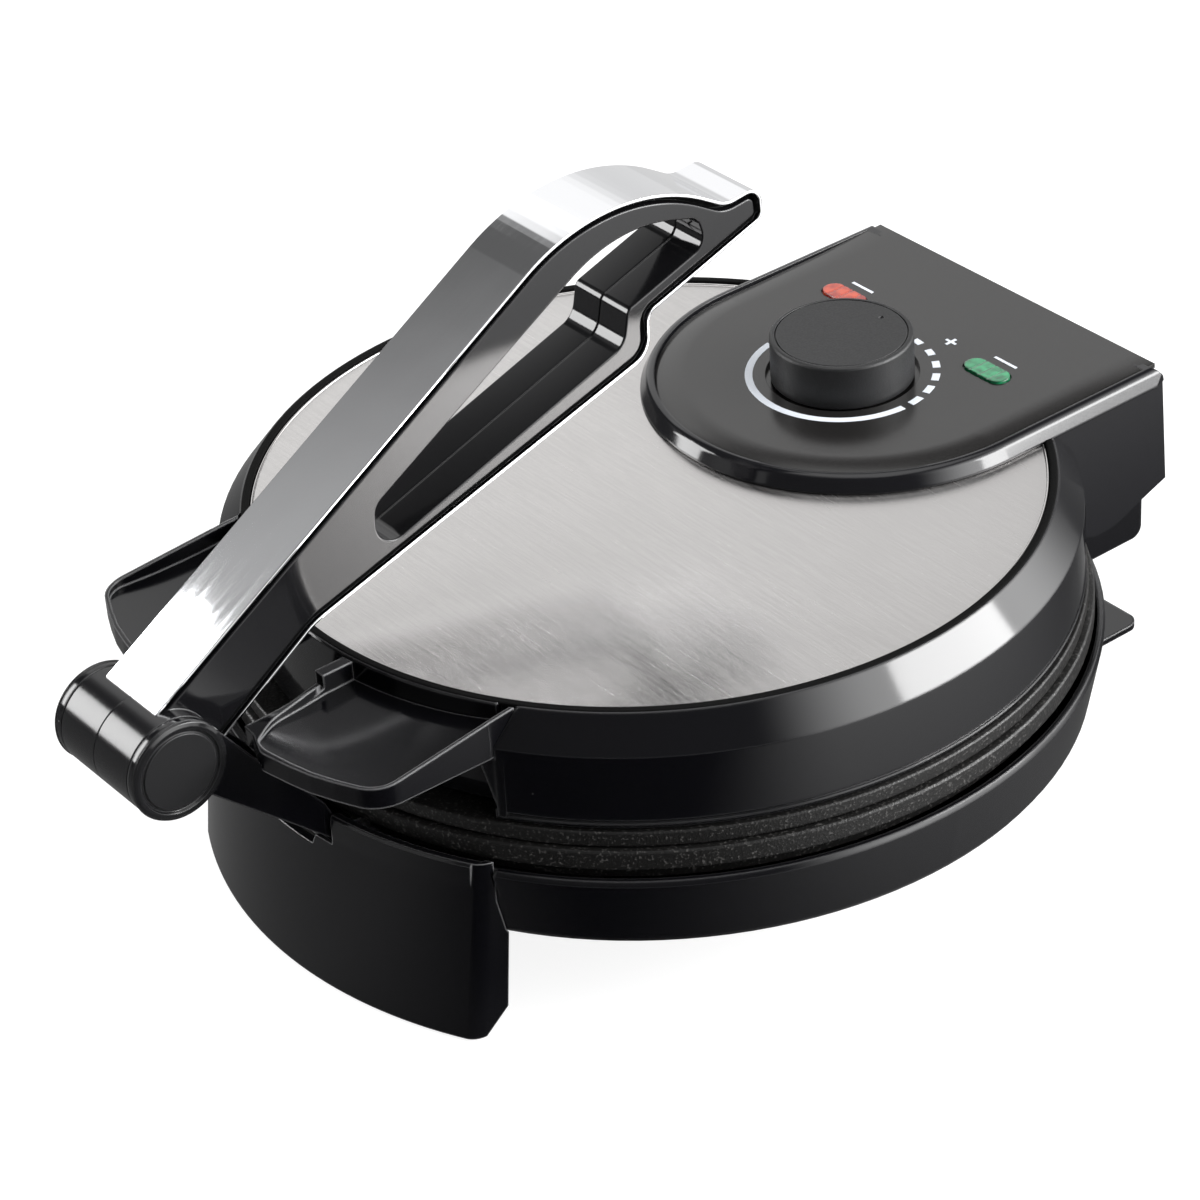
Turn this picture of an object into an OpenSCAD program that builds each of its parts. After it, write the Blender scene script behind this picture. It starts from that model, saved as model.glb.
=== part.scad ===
/* [Round body] */
// Outer radius of the base at its rim
base_r = 143; // [135:1:150]
// Height of the base rim above the table
base_rim_z = 60; // [56:0.5:60]
// Height of the low edge of the bowl's side wall
bowl_z = 36.4; // [32:0.2:40]
// Wall thickness of the plastic shells
wall = 2.4; // [2:0.1:3]

/* [Cooking plates] */
// Radius of the lower plate's rim
lower_plate_r = 139.6; // [136:0.1:140]
// Radius of the upper plate's rim
upper_plate_r = 137.6; // [134:0.1:138]
// Height of the lower plate's top face
plate_top_z = 68.7; // [67:0.1:68.8]
// Mean radius of each ring-shaped heating element
element_r = 88; // [70:1:95]
// Radius of the element's tube
element_tube_r = 3.3; // [3:0.1:3.5]

/* [Lid] */
// Radius of the steel disc on top of the lid
disc_r = 125; // [118:0.5:125]
// Height of the disc's top face
disc_z = 109.5; // [108:0.5:110]
// Radius of the lid's side band
band_r = 136.6; // [134:0.1:137]
// Height of the band's lower edge
band_z = 75.9; // [75:0.1:78]
// Half-width between the two notch edges at the front of the lid
notch_x = 72.2; // [70:0.1:75]

/* [Control housing] */
// Radius of the round front of the control housing
housing_r = 71; // [68:0.5:74]
// Distance from the body axis to the centre of the round front
housing_y = 88; // [84:0.5:92]
// Height of the panel's face
panel_z = 115; // [113:0.5:116]
// Distance from the body axis to the dial
dial_y = 81.3; // [76:0.1:84]
// Radius of the temperature knob
knob_r = 23.3; // [20:0.1:24]
// Height of the knob
knob_h = 14.6; // [10:0.2:16]

/* [Lever] */
// Half-width of the chrome lever
lever_x = 13.4; // [12:0.1:14]
// Radius of the barrel that the lever turns in
barrel_r = 15.8; // [15:0.1:16.2]
// Distance from the body axis forward to the barrel
barrel_y = 190.4; // [188:0.2:194]
// Height of the barrel's axis
barrel_z = 102.3; // [101:0.1:104]
// Thickness of the chrome band
chrome_t = 1.3; // [1:0.1:1.6]
// Width of the groove between the chrome edge and the side plate
groove_w = 2; // [1.5:0.1:3]

/* [Supports] */
// Radius of the leg shield where it meets the table
shield_r = 151.4; // [148:0.2:154]
// Half-width of the leg shield
shield_x = 73.4; // [70:0.2:75]
// Distance from the body axis to the rear edge of the foot
foot_y = 163.3; // [160:0.1:166]
// Distance from the body axis to the hinge pin
hinge_y = 146; // [145:0.5:147]
// Height of the hinge pin
hinge_z = 59.5; // [59:0.1:60]

/* [Hidden] */
$fn = 96;
arc_step = 9;
gap = 0.3;
run = 0.05;

cap_r = barrel_r + 0.25;
front_reach = barrel_y + cap_r;
body_y = (front_reach - foot_y) / 2;
lid_pz = disc_z + 0.9;
shoulder_z = lid_pz - 10.3;
shoulder_r = band_r - 0.4;
ring_r = disc_r + 3.2;
upper_z = plate_top_z + 0.4;
table_gap = 1;
foot_t = 2.2;
foot_z = 5.1;
front_foot_x = 56;
front_foot_y = -129.6;
rear_foot_x = 44;
rear_foot_y = 150;
pad_r = 6;
pad_t = 2.6;
block_x = 60;
block_z = 46.4;
side_x = 68.2;
ear_x = 47;
ear_t = 6;
ear_r = 7;
pin_r = 3;
link_y = -138;
link_z = 54.2;
link_pin_r = 2.5;
hub_x = 17.6;
cheek_x0 = 18;
cheek_x1 = 20.4;
cap_x = 21.7;
slot_x = 14.9;
red_x = -36.9;
green_x = 32.4;
lens_y = 114.6;
lens_l = 18.5;
lens_w = 8.4;
cap_groove_r = knob_r - 1.7;
well_r = knob_r + 1.7;
well_d = 1.6;
mark_r = 31.6;
mark_w = 2.5;
screw_r = 1.6;
pilot_r = 1.3;
post_r = 4;
post_ring = 119;
post_angles = [45, 135, 225, 315];
lever_screw_at = [[34, 20], [66, 36], [216, 93.6]];

black = "#17181a";
textured = "#2b2a29";
panel_grey = "#3c3a38";
steel = "#c9c6c4";
chrome = "#dfe1e4";
dull = "#8c8d90";

// Unit vector along v
function unit(v) = v / norm(v);

// Arc of radius r that rounds corner b between its neighbours a and c
function corner_arc(a, b, c, r) =
    let (
        u = unit(a - b),
        v = unit(c - b),
        half = acos(u * v) / 2,
        p = b + r / tan(half) * u,
        q = b + r / tan(half) * v,
        m = b + r / sin(half) * unit(u + v),
        from = atan2(p.y - m.y, p.x - m.x),
        turn = ((atan2(q.y - m.y, q.x - m.x) - from + 540) % 360) - 180,
        n = max(1, ceil(abs(turn) / arc_step))
    )
    [for (i = [0 : n]) m + r * [cos(from + turn * i / n), sin(from + turn * i / n)]];

function xy(p) = [p.x, p.y];
function around(list, i) = list[(i + len(list)) % len(list)];

// Outline through corners [x, y, r], each rounded by its own radius
function rounded(c) = [
    for (i = [0 : len(c) - 1])
        for (p = c[i][2] > 0
            ? corner_arc(xy(around(c, i - 1)), xy(c[i]), xy(around(c, i + 1)), c[i][2])
            : [xy(c[i])]) p
];

function left_of(v) = [-v.y, v.x];

// Corner list moved inward by d, for corners listed counter-clockwise
function inset(c, d) = [
    for (i = [0 : len(c) - 1])
        let (
            e0 = unit(xy(c[i]) - xy(around(c, i - 1))),
            e1 = unit(xy(around(c, i + 1)) - xy(c[i])),
            n0 = left_of(e0),
            n1 = left_of(e1),
            p = xy(c[i]) + d * (n0 + n1) / (1 + n0 * n1),
            convex = e0.x * e1.y - e0.y * e1.x > 0
        )
        [p.x, p.y, c[i][2] == 0 ? 0 : max(0.3, c[i][2] + (convex ? -d : d))]
];

// Lever side outline from the barrel axis: heel, underside, hooked end, top and foot
lever_corners = [
    [18.5, -3.8, 4], [55.5, 21.2, 25], [184.3, 60.3, 9], [184.6, 73.8, 4],
    [230.6, 89.6, 4.5], [229.9, 101.2, 5.5], [216.4, 99.6, 9], [174, 125.4, 65],
    [-1, 16.2, 1.2], [-1, 2, 0], [10, -6, 0]
];
window_corners = [
    [80, 33.8, 7], [174.8, 66.8, 7], [177, 77.9, 3], [208.2, 88.6, 5.5],
    [205.5, 98.4, 5], [175.7, 107.4, 48], [80.5, 50.6, 6]
];

// Outline of the right wing seen from above, from the lever slot to its outer side
wing_corners = [
    [15, -124, 0], [15, -166, 0], [24, -166.6, 4], [33, -170.2, 5],
    [52, -166.6, 70], [73.2, -157, 11], [71.2, -104, 0]
];
dish_corners = [
    [19, -122, 0], [19, -138, 3], [22, -158.5, 20], [28, -167.8, 3], [33, -168.3, 4],
    [52, -165.2, 66], [71.9, -156.2, 9.5], [69.9, -104, 0]
];

module at_body() { translate([0, body_y, 0]) children(); }

// Extrude a (y, z) outline along X between x0 and x1
module side_slab(x0, x1) {
    translate([x0, 0, 0]) rotate([90, 0, 90]) linear_extrude(x1 - x0) children();
}

module ring_sweep(points, fn = 144) { rotate_extrude($fn = fn) polygon(points); }

module tube_x(r, x0, x1, fn = 48) {
    translate([x0, 0, 0]) rotate([0, 90, 0]) cylinder(r = r, h = x1 - x0, $fn = fn);
}

module at_posts() {
    for (a = post_angles) rotate([0, 0, a]) translate([post_ring, 0, 0]) children();
}

module at_neck_screws() {
    for (x = [-28, 28], y = [118, 142]) translate([x, y, 0]) children();
}

module both_sides() {
    children();
    mirror([1, 0, 0]) children();
}

// Base

module base_shell() {
    color(black) at_body() difference() {
        union() {
            ring_sweep([
                [82, 24], [110, 27.6], [134, 33.4], [137.6, 34.6], [138.8, bowl_z],
                [base_r - 0.1, base_rim_z - 1.6], [base_r - 0.9, base_rim_z],
                [base_r - 2.6, base_rim_z], [base_r - wall, base_rim_z - 1],
                [136.4, bowl_z + 2], [133.4, 36], [110, 30.2], [82, 26.6]
            ]);
            at_posts() translate([0, 0, 30]) cylinder(r = post_r, h = 31.8, $fn = 32);
            // Bosses for the link bracket and for the leg shield
            both_sides() translate([17, -117, 30]) cylinder(r = post_r, h = 8.58, $fn = 32);
            both_sides() translate([54, -116, 32.4]) cylinder(r = post_r, h = 8, $fn = 32);
        }
        at_posts() translate([0, 0, 20]) cylinder(r = screw_r, h = 50, $fn = 24);
        both_sides() translate([17, -117, 31.2]) cylinder(r = pilot_r, h = 10, $fn = 24);
        both_sides() translate([54, -116, 26]) cylinder(r = pilot_r, h = 12, $fn = 24);
        // Room behind the leg shield's wall
        intersection() {
            difference() {
                translate([0, 0, 46]) cylinder(r = 152, h = 20);
                translate([0, 0, 45]) cylinder(r = 141.2, h = 22, $fn = 144);
            }
            translate([-shield_x - 1, -160, 40]) cube([2 * shield_x + 2, 100, 30]);
        }
        // Opening that the link arm swings in
        translate([-26, -152, 47]) cube([52, 26, 20]);
        // Seat of the hinge block
        translate([-block_x - gap, 118, block_z - gap]) cube([2 * block_x + 2 * gap, 40, 40]);
    }
}

module bottom_cover() {
    color(black) at_body() difference() {
        union() {
            translate([0, 0, 21.6]) cylinder(r = 86, h = 2.4);
            translate([0, 0, 24]) difference() {
                cylinder(r = 81.6, h = 3);
                translate([0, 0, -1]) cylinder(r = 79.6, h = 5);
            }
        }
        for (i = [-3 : 3], j = [-1, 1])
            translate([i * 12 - 2, j * 42 - 16, 20]) cube([4, 32, 6]);
        for (a = [30, 150, 270]) rotate([0, 0, a]) translate([72, 0, 20]) cylinder(r = screw_r, h = 6, $fn = 24);
    }
}

// Solid of revolution that holds the leg shield's wall, t thick
module shield_wall(t) {
    ring_sweep([
        [144.5 - t, 62.2], [144.1, 62.6], [144.8, 61.6], [145, 54],
        [shield_r, table_gap], [shield_r - t, table_gap], [145 - t, 54]
    ]);
}

// Material taken away to round the upright corner of the shield
module shield_corner() {
    r = 6.5;
    x = shield_x - r;
    low_y = -sqrt(pow(shield_r - r, 2) - x * x);
    high_y = -sqrt(pow(145 - r, 2) - x * x);
    translate([x, low_y, table_gap]) rotate([-atan((high_y - low_y) / 53), 0, 0]) translate([0, 0, -10]) difference() {
        linear_extrude(90) polygon([[0, 0], [12, -23.4], [22, -23.4], [22, 0]]);
        translate([0, 0, -1]) cylinder(r = r, h = 92, $fn = 64);
    }
}

module leg_shield() {
    color(black) at_body() difference() {
        union() {
            intersection() {
                shield_wall(2.8);
                translate([-shield_x, -160, 0]) cube([2 * shield_x, 100, 70]);
            }
            // Short returns at both sides, cut back at the bottom
            intersection() {
                shield_wall(24);
                both_sides() side_slab(shield_x - wall, shield_x) polygon([
                    [-160, 0], [-128.8, 0], [-128.8, 0.9], [-120, 8], [-117, 38], [-117, 70], [-160, 70]
                ]);
            }
            // Bosses for the rubber feet, and tabs screwed to the bowl
            both_sides() translate([front_foot_x, front_foot_y, table_gap]) cylinder(r = 7.4, h = 9, $fn = 40);
            both_sides() intersection() {
                translate([49, -142, 26]) cube([10, 30.6, 12]);
                cylinder(r = 146.5, h = 60);
            }
        }
        ring_sweep([
            [0, 20], [82 + gap, 23.6], [110, 27.2], [134 + gap, 33], [137.8 + gap, 34.2],
            [138.8 + gap, bowl_z - gap], [141.2, 48], [141.2, 70], [0, 70]
        ]);
        both_sides() translate([54, -116, 20]) cylinder(r = screw_r, h = 20, $fn = 24);
        both_sides() shield_corner();
        // Window that the link arm passes through
        translate([0, -130, 0]) rotate([90, 0, 0]) linear_extrude(30) polygon([
            [-13.2, 48.6], [13.2, 48.6], [14.6, 52.2], [22, 52.2], [22, 75], [-22, 75], [-22, 52.2], [-14.6, 52.2]
        ]);
        // Room inside the wall for the arm's hub and for the pin's two ears
        translate([-22, -142.6, 48.6]) cube([44, 12, 20]);
        translate([-26.4, -141.3, 46.8]) cube([52.8, 12, 14]);
        both_sides() translate([front_foot_x, front_foot_y, 0]) cylinder(r = pad_r + 0.1, h = pad_t, $fn = 40);
    }
}

// Side outline of the hinge block in (y, z)
block_corners = [
    [119, 61.4, 0], [119, block_z, 0], [158, block_z, 4], [158, 67, 7], [139, 67, 6], [139, 61.4, 0]
];

module hinge_block() {
    color(black) at_body() difference() {
        union() {
            side_slab(-block_x, block_x) polygon(rounded(block_corners));
            // Neck below the block, round which the cord is wound
            translate([-34, 112, foot_z + foot_t]) cube([68, 36, block_z - foot_z - foot_t + 1]);
        }
        ring_sweep([
            [0, 0], [0, 80], [lower_plate_r + gap, 80], [lower_plate_r + gap, 61], [137, 61],
            [137, block_z - gap], [141.2, block_z - gap], [139.1, bowl_z - gap], [137.9, 34.2],
            [134.2, 33], [110, 27.2], [82, 23.6], [82, 0]
        ]);
        both_sides() translate([ear_x - ear_t / 2 - gap, 136.4, 40]) cube([ear_t + 2 * gap, 30, 40]);
        translate([0, hinge_y, hinge_z]) tube_x(pin_r + 0.01, -block_x - 1, block_x + 1);
        // Hollow neck, with the cord's way out at the back
        difference() {
            translate([-31, 115, 0]) cube([62, 30, 42]);
            at_neck_screws() cylinder(r = post_r, h = 22, $fn = 32);
        }
        at_neck_screws() cylinder(r = pilot_r, h = 18, $fn = 24);
        translate([0, 140, 22]) rotate([-90, 0, 0]) cylinder(r = 5.5, h = 12, $fn = 40);
    }
}

module rear_foot() {
    color(black) at_body() difference() {
        translate([0, 0, foot_z]) linear_extrude(foot_t) polygon(rounded([
            [-55.5, 104, 5], [55.5, 104, 5], [55.5, foot_y, 5], [-55.5, foot_y, 5]
        ]));
        both_sides() translate([rear_foot_x, rear_foot_y, 0]) cylinder(r = pad_r + 0.1, h = foot_z + 0.8, $fn = 40);
        at_neck_screws() cylinder(r = screw_r, h = 8, $fn = 24);
    }
}

module rubber_feet() {
    color("#202020") at_body() both_sides() {
        translate([front_foot_x, front_foot_y, 0]) cylinder(r = pad_r, h = pad_t, $fn = 40);
        translate([rear_foot_x, rear_foot_y, 0]) cylinder(r = pad_r, h = foot_z + 0.78, $fn = 40);
    }
}

module lower_plate() {
    color(textured) at_body() difference() {
        ring_sweep([
            [0, 62], [134, 62], [134, 57.4], [136, 57.4], [136, 62], [lower_plate_r, 62.6],
            [lower_plate_r, plate_top_z - 0.6],
            [lower_plate_r - 0.6, plate_top_z], [0, plate_top_z]
        ]);
        at_posts() translate([0, 0, 60]) cylinder(r = pilot_r, h = 6, $fn = 24);
        // Break in the lip for the link arm
        translate([-28, -140, 56]) cube([56, 20, 5.98]);
    }
}

// Ring-shaped heating element at height z, with its two cold ends pointing along dir
module element(z, dir) {
    gap_angle = 14;
    translate([0, 0, z]) {
        rotate([0, 0, gap_angle]) rotate_extrude(angle = 360 - 2 * gap_angle, $fn = 96)
            translate([element_r, 0]) circle(r = element_tube_r, $fn = 20);
        for (s = [-1, 1]) rotate([0, 0, s * gap_angle]) translate([element_r, 0, 0])
            mirror([0, 0, dir < 0 ? 1 : 0]) cylinder(r = element_tube_r - 0.2, h = 17, $fn = 20);
    }
}

module lower_element() {
    color(dull) at_body() element(62 - element_tube_r - 0.02, -1);
}

module lower_reflector() {
    color(dull) at_body() difference() {
        ring_sweep([
            [0, 43], [100, 43], [114, 55], [126, 55], [126, 55.8], [113.6, 55.8], [99.6, 43.8], [0, 43.8]
        ]);
        at_posts() translate([0, 0, 40]) cylinder(r = post_r + gap, h = 30, $fn = 32);
        for (s = [-1, 1]) rotate([0, 0, s * 14]) translate([element_r, 0, 40]) cylinder(r = 5, h = 8, $fn = 24);
        translate([-30, -134, 40]) cube([60, 14, 30]);
    }
}

// Steel bracket inside the base, with the two ears that carry the link pin
module link_bracket() {
    color(dull) at_body() difference() {
        union() {
            both_sides() side_slab(22.6, 24.6) polygon(rounded([
                [-141, 51, 2], [-138, 47.6, 0], [-133.6, 47.6, 0], [-126, 38.6, 0], [-108, 38.6, 0],
                [-126, 58, 4], [-141, 59.4, 4]
            ]));
            translate([-24.6, -126, 38.6]) cube([49.2, 18, 2]);
        }
        translate([0, link_y, link_z]) tube_x(link_pin_r + 0.01, -30, 30);
        both_sides() translate([17, -117, 30]) cylinder(r = screw_r, h = 20, $fn = 24);
    }
}

module link_pin() {
    color(steel) at_body() translate([0, link_y, link_z]) tube_x(link_pin_r, -25.4, 25.4);
}

module hinge_pin() {
    color(steel) at_body() translate([0, hinge_y, hinge_z]) {
        tube_x(pin_r, -block_x + 0.6, block_x - 0.6);
    }
}

module terminal_block() {
    color("#d8d4c8") at_body() difference() {
        translate([-20, 44, 24.04]) cube([40, 16, 12]);
        for (i = [-1 : 1]) translate([i * 12, 52, 22]) cylinder(r = 2, h = 20, $fn = 24);
    }
}

module cord_gland() {
    color("#202020") at_body() translate([0, 143, 22]) rotate([-90, 0, 0]) difference() {
        union() {
            cylinder(r = 7.5, h = 1.9, $fn = 40);
            cylinder(r = 5.4, h = 6, $fn = 40);
            translate([0, 0, 5.1]) cylinder(r = 7.5, h = 3, $fn = 40);
        }
        translate([0, 0, -1]) cylinder(r = 3.5, h = 14, $fn = 40);
    }
}

module screw(length, r = screw_r - 0.05, head = 3) {
    cylinder(r = r, h = length, $fn = 24);
    translate([0, 0, -1.6]) difference() {
        cylinder(r = head, h = 1.6, $fn = 32);
        translate([0, 0, -0.1]) {
            translate([-2, -0.4, 0]) cube([4, 0.8, 1]);
            translate([-0.4, -2, 0]) cube([0.8, 4, 1]);
        }
    }
}

module base_screws() {
    color(steel) at_body() {
        for (a = [30, 150, 270]) rotate([0, 0, a]) translate([72, 0, 21.58]) screw(10);
        at_neck_screws() translate([0, 0, foot_z - 0.02]) screw(12, 1.25, 2.6);
        both_sides() translate([54, -116, 25.98]) screw(10, 1.25);
        both_sides() translate([17, -117, 40.62]) mirror([0, 0, 1]) screw(9, 1.25);
    }
}

module plate_screws() {
    color(steel) at_body() at_posts() translate([0, 0, 29]) screw(36, 1.25);
}

// Lid

// Cross-section of the lid's ring, chamfer and band
band_foot = [
    [band_r - 0.7, band_z], [band_r - 0.3, band_z + 0.3], [band_r - 0.3, band_z + 0.9],
    [band_r - 0.7, band_z + 1], [band_r - 0.7, band_z + 1.7], [band_r - 0.1, band_z + 2]
];
ring_section = concat(
    [
        [119, disc_z - 3.6], [ring_r - 2, disc_z - 3.6], [shoulder_r - wall, shoulder_z - 2],
        [band_r - wall, band_z]
    ],
    band_foot,
    [
        [shoulder_r, shoulder_z], [ring_r, lid_pz], [disc_r + 0.5, lid_pz],
        [disc_r + 0.5, disc_z - 1.2], [119, disc_z - 1.2]
    ]
);

module wing() {
    difference() {
        intersection() {
            linear_extrude(140) polygon(rounded(wing_corners));
            side_slab(0, 80) polygon([
                [-172, 98.6], [-154, 98.6], [-112, 96.6], [-104, 96.6], [-104, lid_pz],
                [-112, 109.9], [-154, 105.7], [-172, 105.1]
            ]);
        }
        // Shallow dish between the raised edges
        intersection() {
            translate([0, 0, 90]) linear_extrude(30) polygon(rounded(dish_corners));
            translate([0, -140, 322.9]) tube_x(220, 0, 90, 240);
            difference() {
                translate([0, -250, 80]) cube([100, 250, 60]);
                translate([0, 0, 79]) cylinder(r = ring_r + 0.4, h = 70, $fn = 144);
            }
        }
        // Pad beside the lever, which slopes down to the front
        side_slab(0, 19.2) polygon([
            [-138, 120], [-138, 105], [-157.5, 100.4], [-163, 97.4], [-175, 92], [-175, 120]
        ]);
    }
    // Short wall between the pad and the dish
    translate([15, -138, 98.4]) cube([4, 16, 11.1]);
}

// Both wings, cut to the round wall behind them and to the band's ends
module lid_wings() {
    color(black) at_body() difference() {
        both_sides() wing();
        translate([0, 0, 70]) cylinder(r = ring_r + 0.5, h = 60, $fn = 180);
        intersection() {
            translate([0, 0, 70]) cylinder(r = band_r + 0.4, h = 60, $fn = 180);
            both_sides() translate([notch_x - 0.65, -130, 70]) cube([10, 60, 60]);
        }
        translate([-slot_x, -175, 60]) cube([2 * slot_x, 175 - 136.2, 60]);
    }
}

module lid_shell() {
    color(black) at_body() difference() {
        union() {
            difference() {
                ring_sweep(ring_section, 180);
                difference() {
                    translate([-notch_x, -150, 70]) cube([2 * notch_x, 100, 60]);
                    cylinder(r = ring_r + 0.3, h = 120, $fn = 180);
                }
            }
            // Set-back wall under the wings
            intersection() {
                ring_sweep([
                    [126.2, band_z], [ring_r + 0.4, band_z], [ring_r + 0.4, lid_pz - 0.4],
                    [ring_r, lid_pz], [126.2, lid_pz]
                ], 180);
                translate([-notch_x, -150, 70]) cube([2 * notch_x, 100, 60]);
            }
            // Ends of the band at each side of the notch
            intersection() {
                ring_sweep([
                    [126.2, band_z], [band_r, band_z], [shoulder_r, shoulder_z], [ring_r, lid_pz],
                    [126.2, lid_pz]
                ], 180);
                both_sides() translate([notch_x - 0.6, -150, 70]) cube([wall, 100, 60]);
            }
            // Gussets under the wings, narrow at the band's foot
            both_sides() intersection() {
                ring_sweep([[133.6, band_z], [136.3, band_z], [136.2, 96.2], [133.6, 96.2]], 180);
                rotate([90, 0, 0]) linear_extrude(150) polygon([
                    [notch_x, band_z], [notch_x - 5.2, 96.2], [notch_x, 96.2]
                ]);
            }
            // Low lip inside the band
            ring_sweep([
                [134.2, 74.6], [135.6, 74.6], [135.6, band_z + 2], [134.2, band_z + 2]
            ], 180);
            at_posts() difference() {
                translate([0, 0, 75.4]) cylinder(r = post_r, h = 31, $fn = 32);
                translate([0, 0, 70]) cylinder(r = pilot_r, h = 20, $fn = 24);
            }
        }
        // Recess between the wall behind each wing and the end of the band
        both_sides() difference() {
            translate([66.4, -120, 106.3]) cube([notch_x - 0.6 - 66.4, 30, 10]);
            cylinder(r = 126.8, h = 120, $fn = 180);
        }
        // Room for the control housing
        housing_room();
        difference() {
            translate([-notch_x + 2, -140, 74]) cube([2 * notch_x - 4, 60, band_z + 2 - 74]);
            cylinder(r = ring_r + 0.4, h = 120, $fn = 180);
        }
    }
}

// Space that the control housing takes out of the round lid
module housing_room() {
    translate([-side_x - 0.1, housing_y, 70]) cube([2 * side_x + 0.2, 90, 60]);
    translate([0, 0, disc_z + 0.04]) linear_extrude(10) d_outline(housing_r + 0.1, 170);
}

// D-shaped outline of half-width r, from the round front back to y1
module d_outline(r, y1) {
    union() {
        intersection() {
            translate([0, housing_y]) circle(r = r, $fn = 120);
            translate([-r, housing_y - r]) square([2 * r, r + 0.01]);
        }
        translate([-r, housing_y]) square([2 * r, y1 - housing_y]);
    }
}

module steel_disc() {
    color(steel) at_body() difference() {
        ring_sweep([
            [0, disc_z - 1.18], [disc_r + 0.2, disc_z - 1.18], [disc_r + 0.2, disc_z + 0.1],
            [disc_r - 0.3, disc_z + 0.4], [disc_r - 0.9, disc_z], [0, disc_z]
        ], 180);
        translate([0, 0, disc_z - 5]) linear_extrude(10) d_outline(housing_r - 6, 160);
        translate([0, 0, disc_z + 0.04]) linear_extrude(10) d_outline(housing_r + 0.1, 160);
        translate([-side_x - 0.1, housing_y, disc_z - 5]) cube([2 * side_x + 0.2, 90, 10]);
    }
}

// Sweep a (half-width, z) section round the D-shaped front and back to y1
module d_sweep(section, y1) {
    translate([0, housing_y, 0]) rotate([0, 0, 180]) rotate_extrude(angle = 180, $fn = 120) polygon(section);
    both_sides() translate([0, y1, 0]) rotate([90, 0, 0]) linear_extrude(y1 - housing_y) polygon(section);
}

rim_in = housing_r - 4.8;
rim_top = rounded([
    [rim_in, disc_z + 0.05, 0], [housing_r - 0.3, disc_z + 0.05, 0], [housing_r, disc_z + 0.5, 0],
    [housing_r - 0.1, disc_z + 1, 0], [housing_r - 2.7, panel_z, 3], [rim_in, panel_z, 0]
]);
rear_y = 158;
rear_low_y = 160.4;
rear_low_z = 71.4;

module control_housing() {
    color(black) at_body() difference() {
        union() {
            d_sweep(rim_top, rear_y - 5);
            // Rear rim of the housing
            intersection() {
                side_slab(-housing_r, housing_r) polygon([
                    [rear_y - 7, disc_z], [rear_y, disc_z], [rear_y - 0.6, disc_z + 2],
                    [rear_y - 2.6, panel_z - 1], [rear_y - 4.2, panel_z], [rear_y - 7, panel_z]
                ]);
                translate([0, 200, 0]) rotate([90, 0, 0]) linear_extrude(200) polygon(rounded([
                    [-housing_r, disc_z + 0.05, 0], [housing_r, disc_z + 0.05, 0], [housing_r - 0.1, disc_z + 1, 0],
                    [housing_r - 2.7, panel_z, 3], [-housing_r + 2.7, panel_z, 3], [-housing_r + 0.1, disc_z + 1, 0]
                ]));
            }
            // Bosses that the hinge ears are screwed to
            both_sides() {
                translate([56, 140, 98.02]) cylinder(r = post_r, h = 13, $fn = 32);
                translate([56, 139, 98.02]) cube([side_x - 57, 2, 13]);
            }
            both_sides() side_slab(side_x - wall, side_x) polygon(rounded([
                [93, disc_z + 1, 0], [93, band_z + 1, 0], [124.2, band_z + 1, 0], [124.2, 64, 0], [128.4, 62.2, 0],
                [137, 62.4, 20], [150, 67.6, 0], [rear_low_y, rear_low_z, 0], [rear_y, disc_z + 1, 0]
            ]));
            side_slab(-side_x, side_x) polygon([
                [rear_y - wall, disc_z + 1], [rear_low_y - wall, rear_low_z], [rear_low_y, rear_low_z], [rear_y, disc_z + 1]
            ]);
            // Ledge that carries the panel
            translate([0, 0, panel_z - 3.4]) linear_extrude(1.6) difference() {
                d_outline(rim_in + 0.6, rear_y - 5);
                d_outline(rim_in - 2.2, rear_y - 10);
            }
        }
        // Rear corners of the rim, brought in to the side walls
        both_sides() translate([0, 0, disc_z - 0.5]) linear_extrude(8) polygon([
            [side_x + 0.2, rear_y + 1], [side_x + 4, rear_y + 1], [side_x + 4, rear_y - 8]
        ]);
        both_sides() translate([56, 140, 98]) cylinder(r = pilot_r, h = 12, $fn = 24);
    }
}

module control_panel() {
    color(panel_grey) at_body() difference() {
        union() {
            translate([0, 0, panel_z - 1.78]) linear_extrude(1.7) d_outline(rim_in - 0.2, rear_y - 7.2);
            translate([0, dial_y, panel_z - 2.9]) cylinder(r = well_r + 1.4, h = 1.6);
        }
        // Well that the knob's skirt dips into
        translate([0, dial_y, panel_z - well_d]) cylinder(r = well_r, h = 10);
        translate([0, dial_y, 100]) cylinder(r = 5.2, h = 20, $fn = 40);
        for (x = [red_x, green_x]) translate([x, lens_y, panel_z - 1]) linear_extrude(4) slot_outline(0.7);
        for (x = [red_x, green_x]) translate([x, lens_y, panel_z - 4]) linear_extrude(8) slot_outline(0.1);
    }
}

// Obround outline of a lens, grown by g
module slot_outline(g) {
    r = lens_w / 2 + g;
    reach = (lens_l - lens_w) / 2;
    union() {
        for (s = [-1, 1]) translate([s * reach, 0]) circle(r = r, $fn = 40);
        translate([-reach, -r]) square([2 * reach, 2 * r]);
    }
}

module lens() {
    difference() {
        union() {
            translate([0, 0, panel_z - 0.6]) linear_extrude(1.4) slot_outline(-0.3);
            translate([0, 0, panel_z - 4.6]) linear_extrude(4.1) slot_outline(0);
        }
        for (i = [-1 : 1]) translate([i * 4.2, 0, panel_z + 1.1]) rotate([90, 0, 0])
            cylinder(r = 0.7, h = 12, center = true, $fn = 4);
    }
}

module red_lens() {
    color("#e2452c") at_body() translate([red_x, lens_y, 0]) lens();
}

module green_lens() {
    color("#1f9a5a") at_body() translate([green_x, lens_y, 0]) lens();
}

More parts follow.
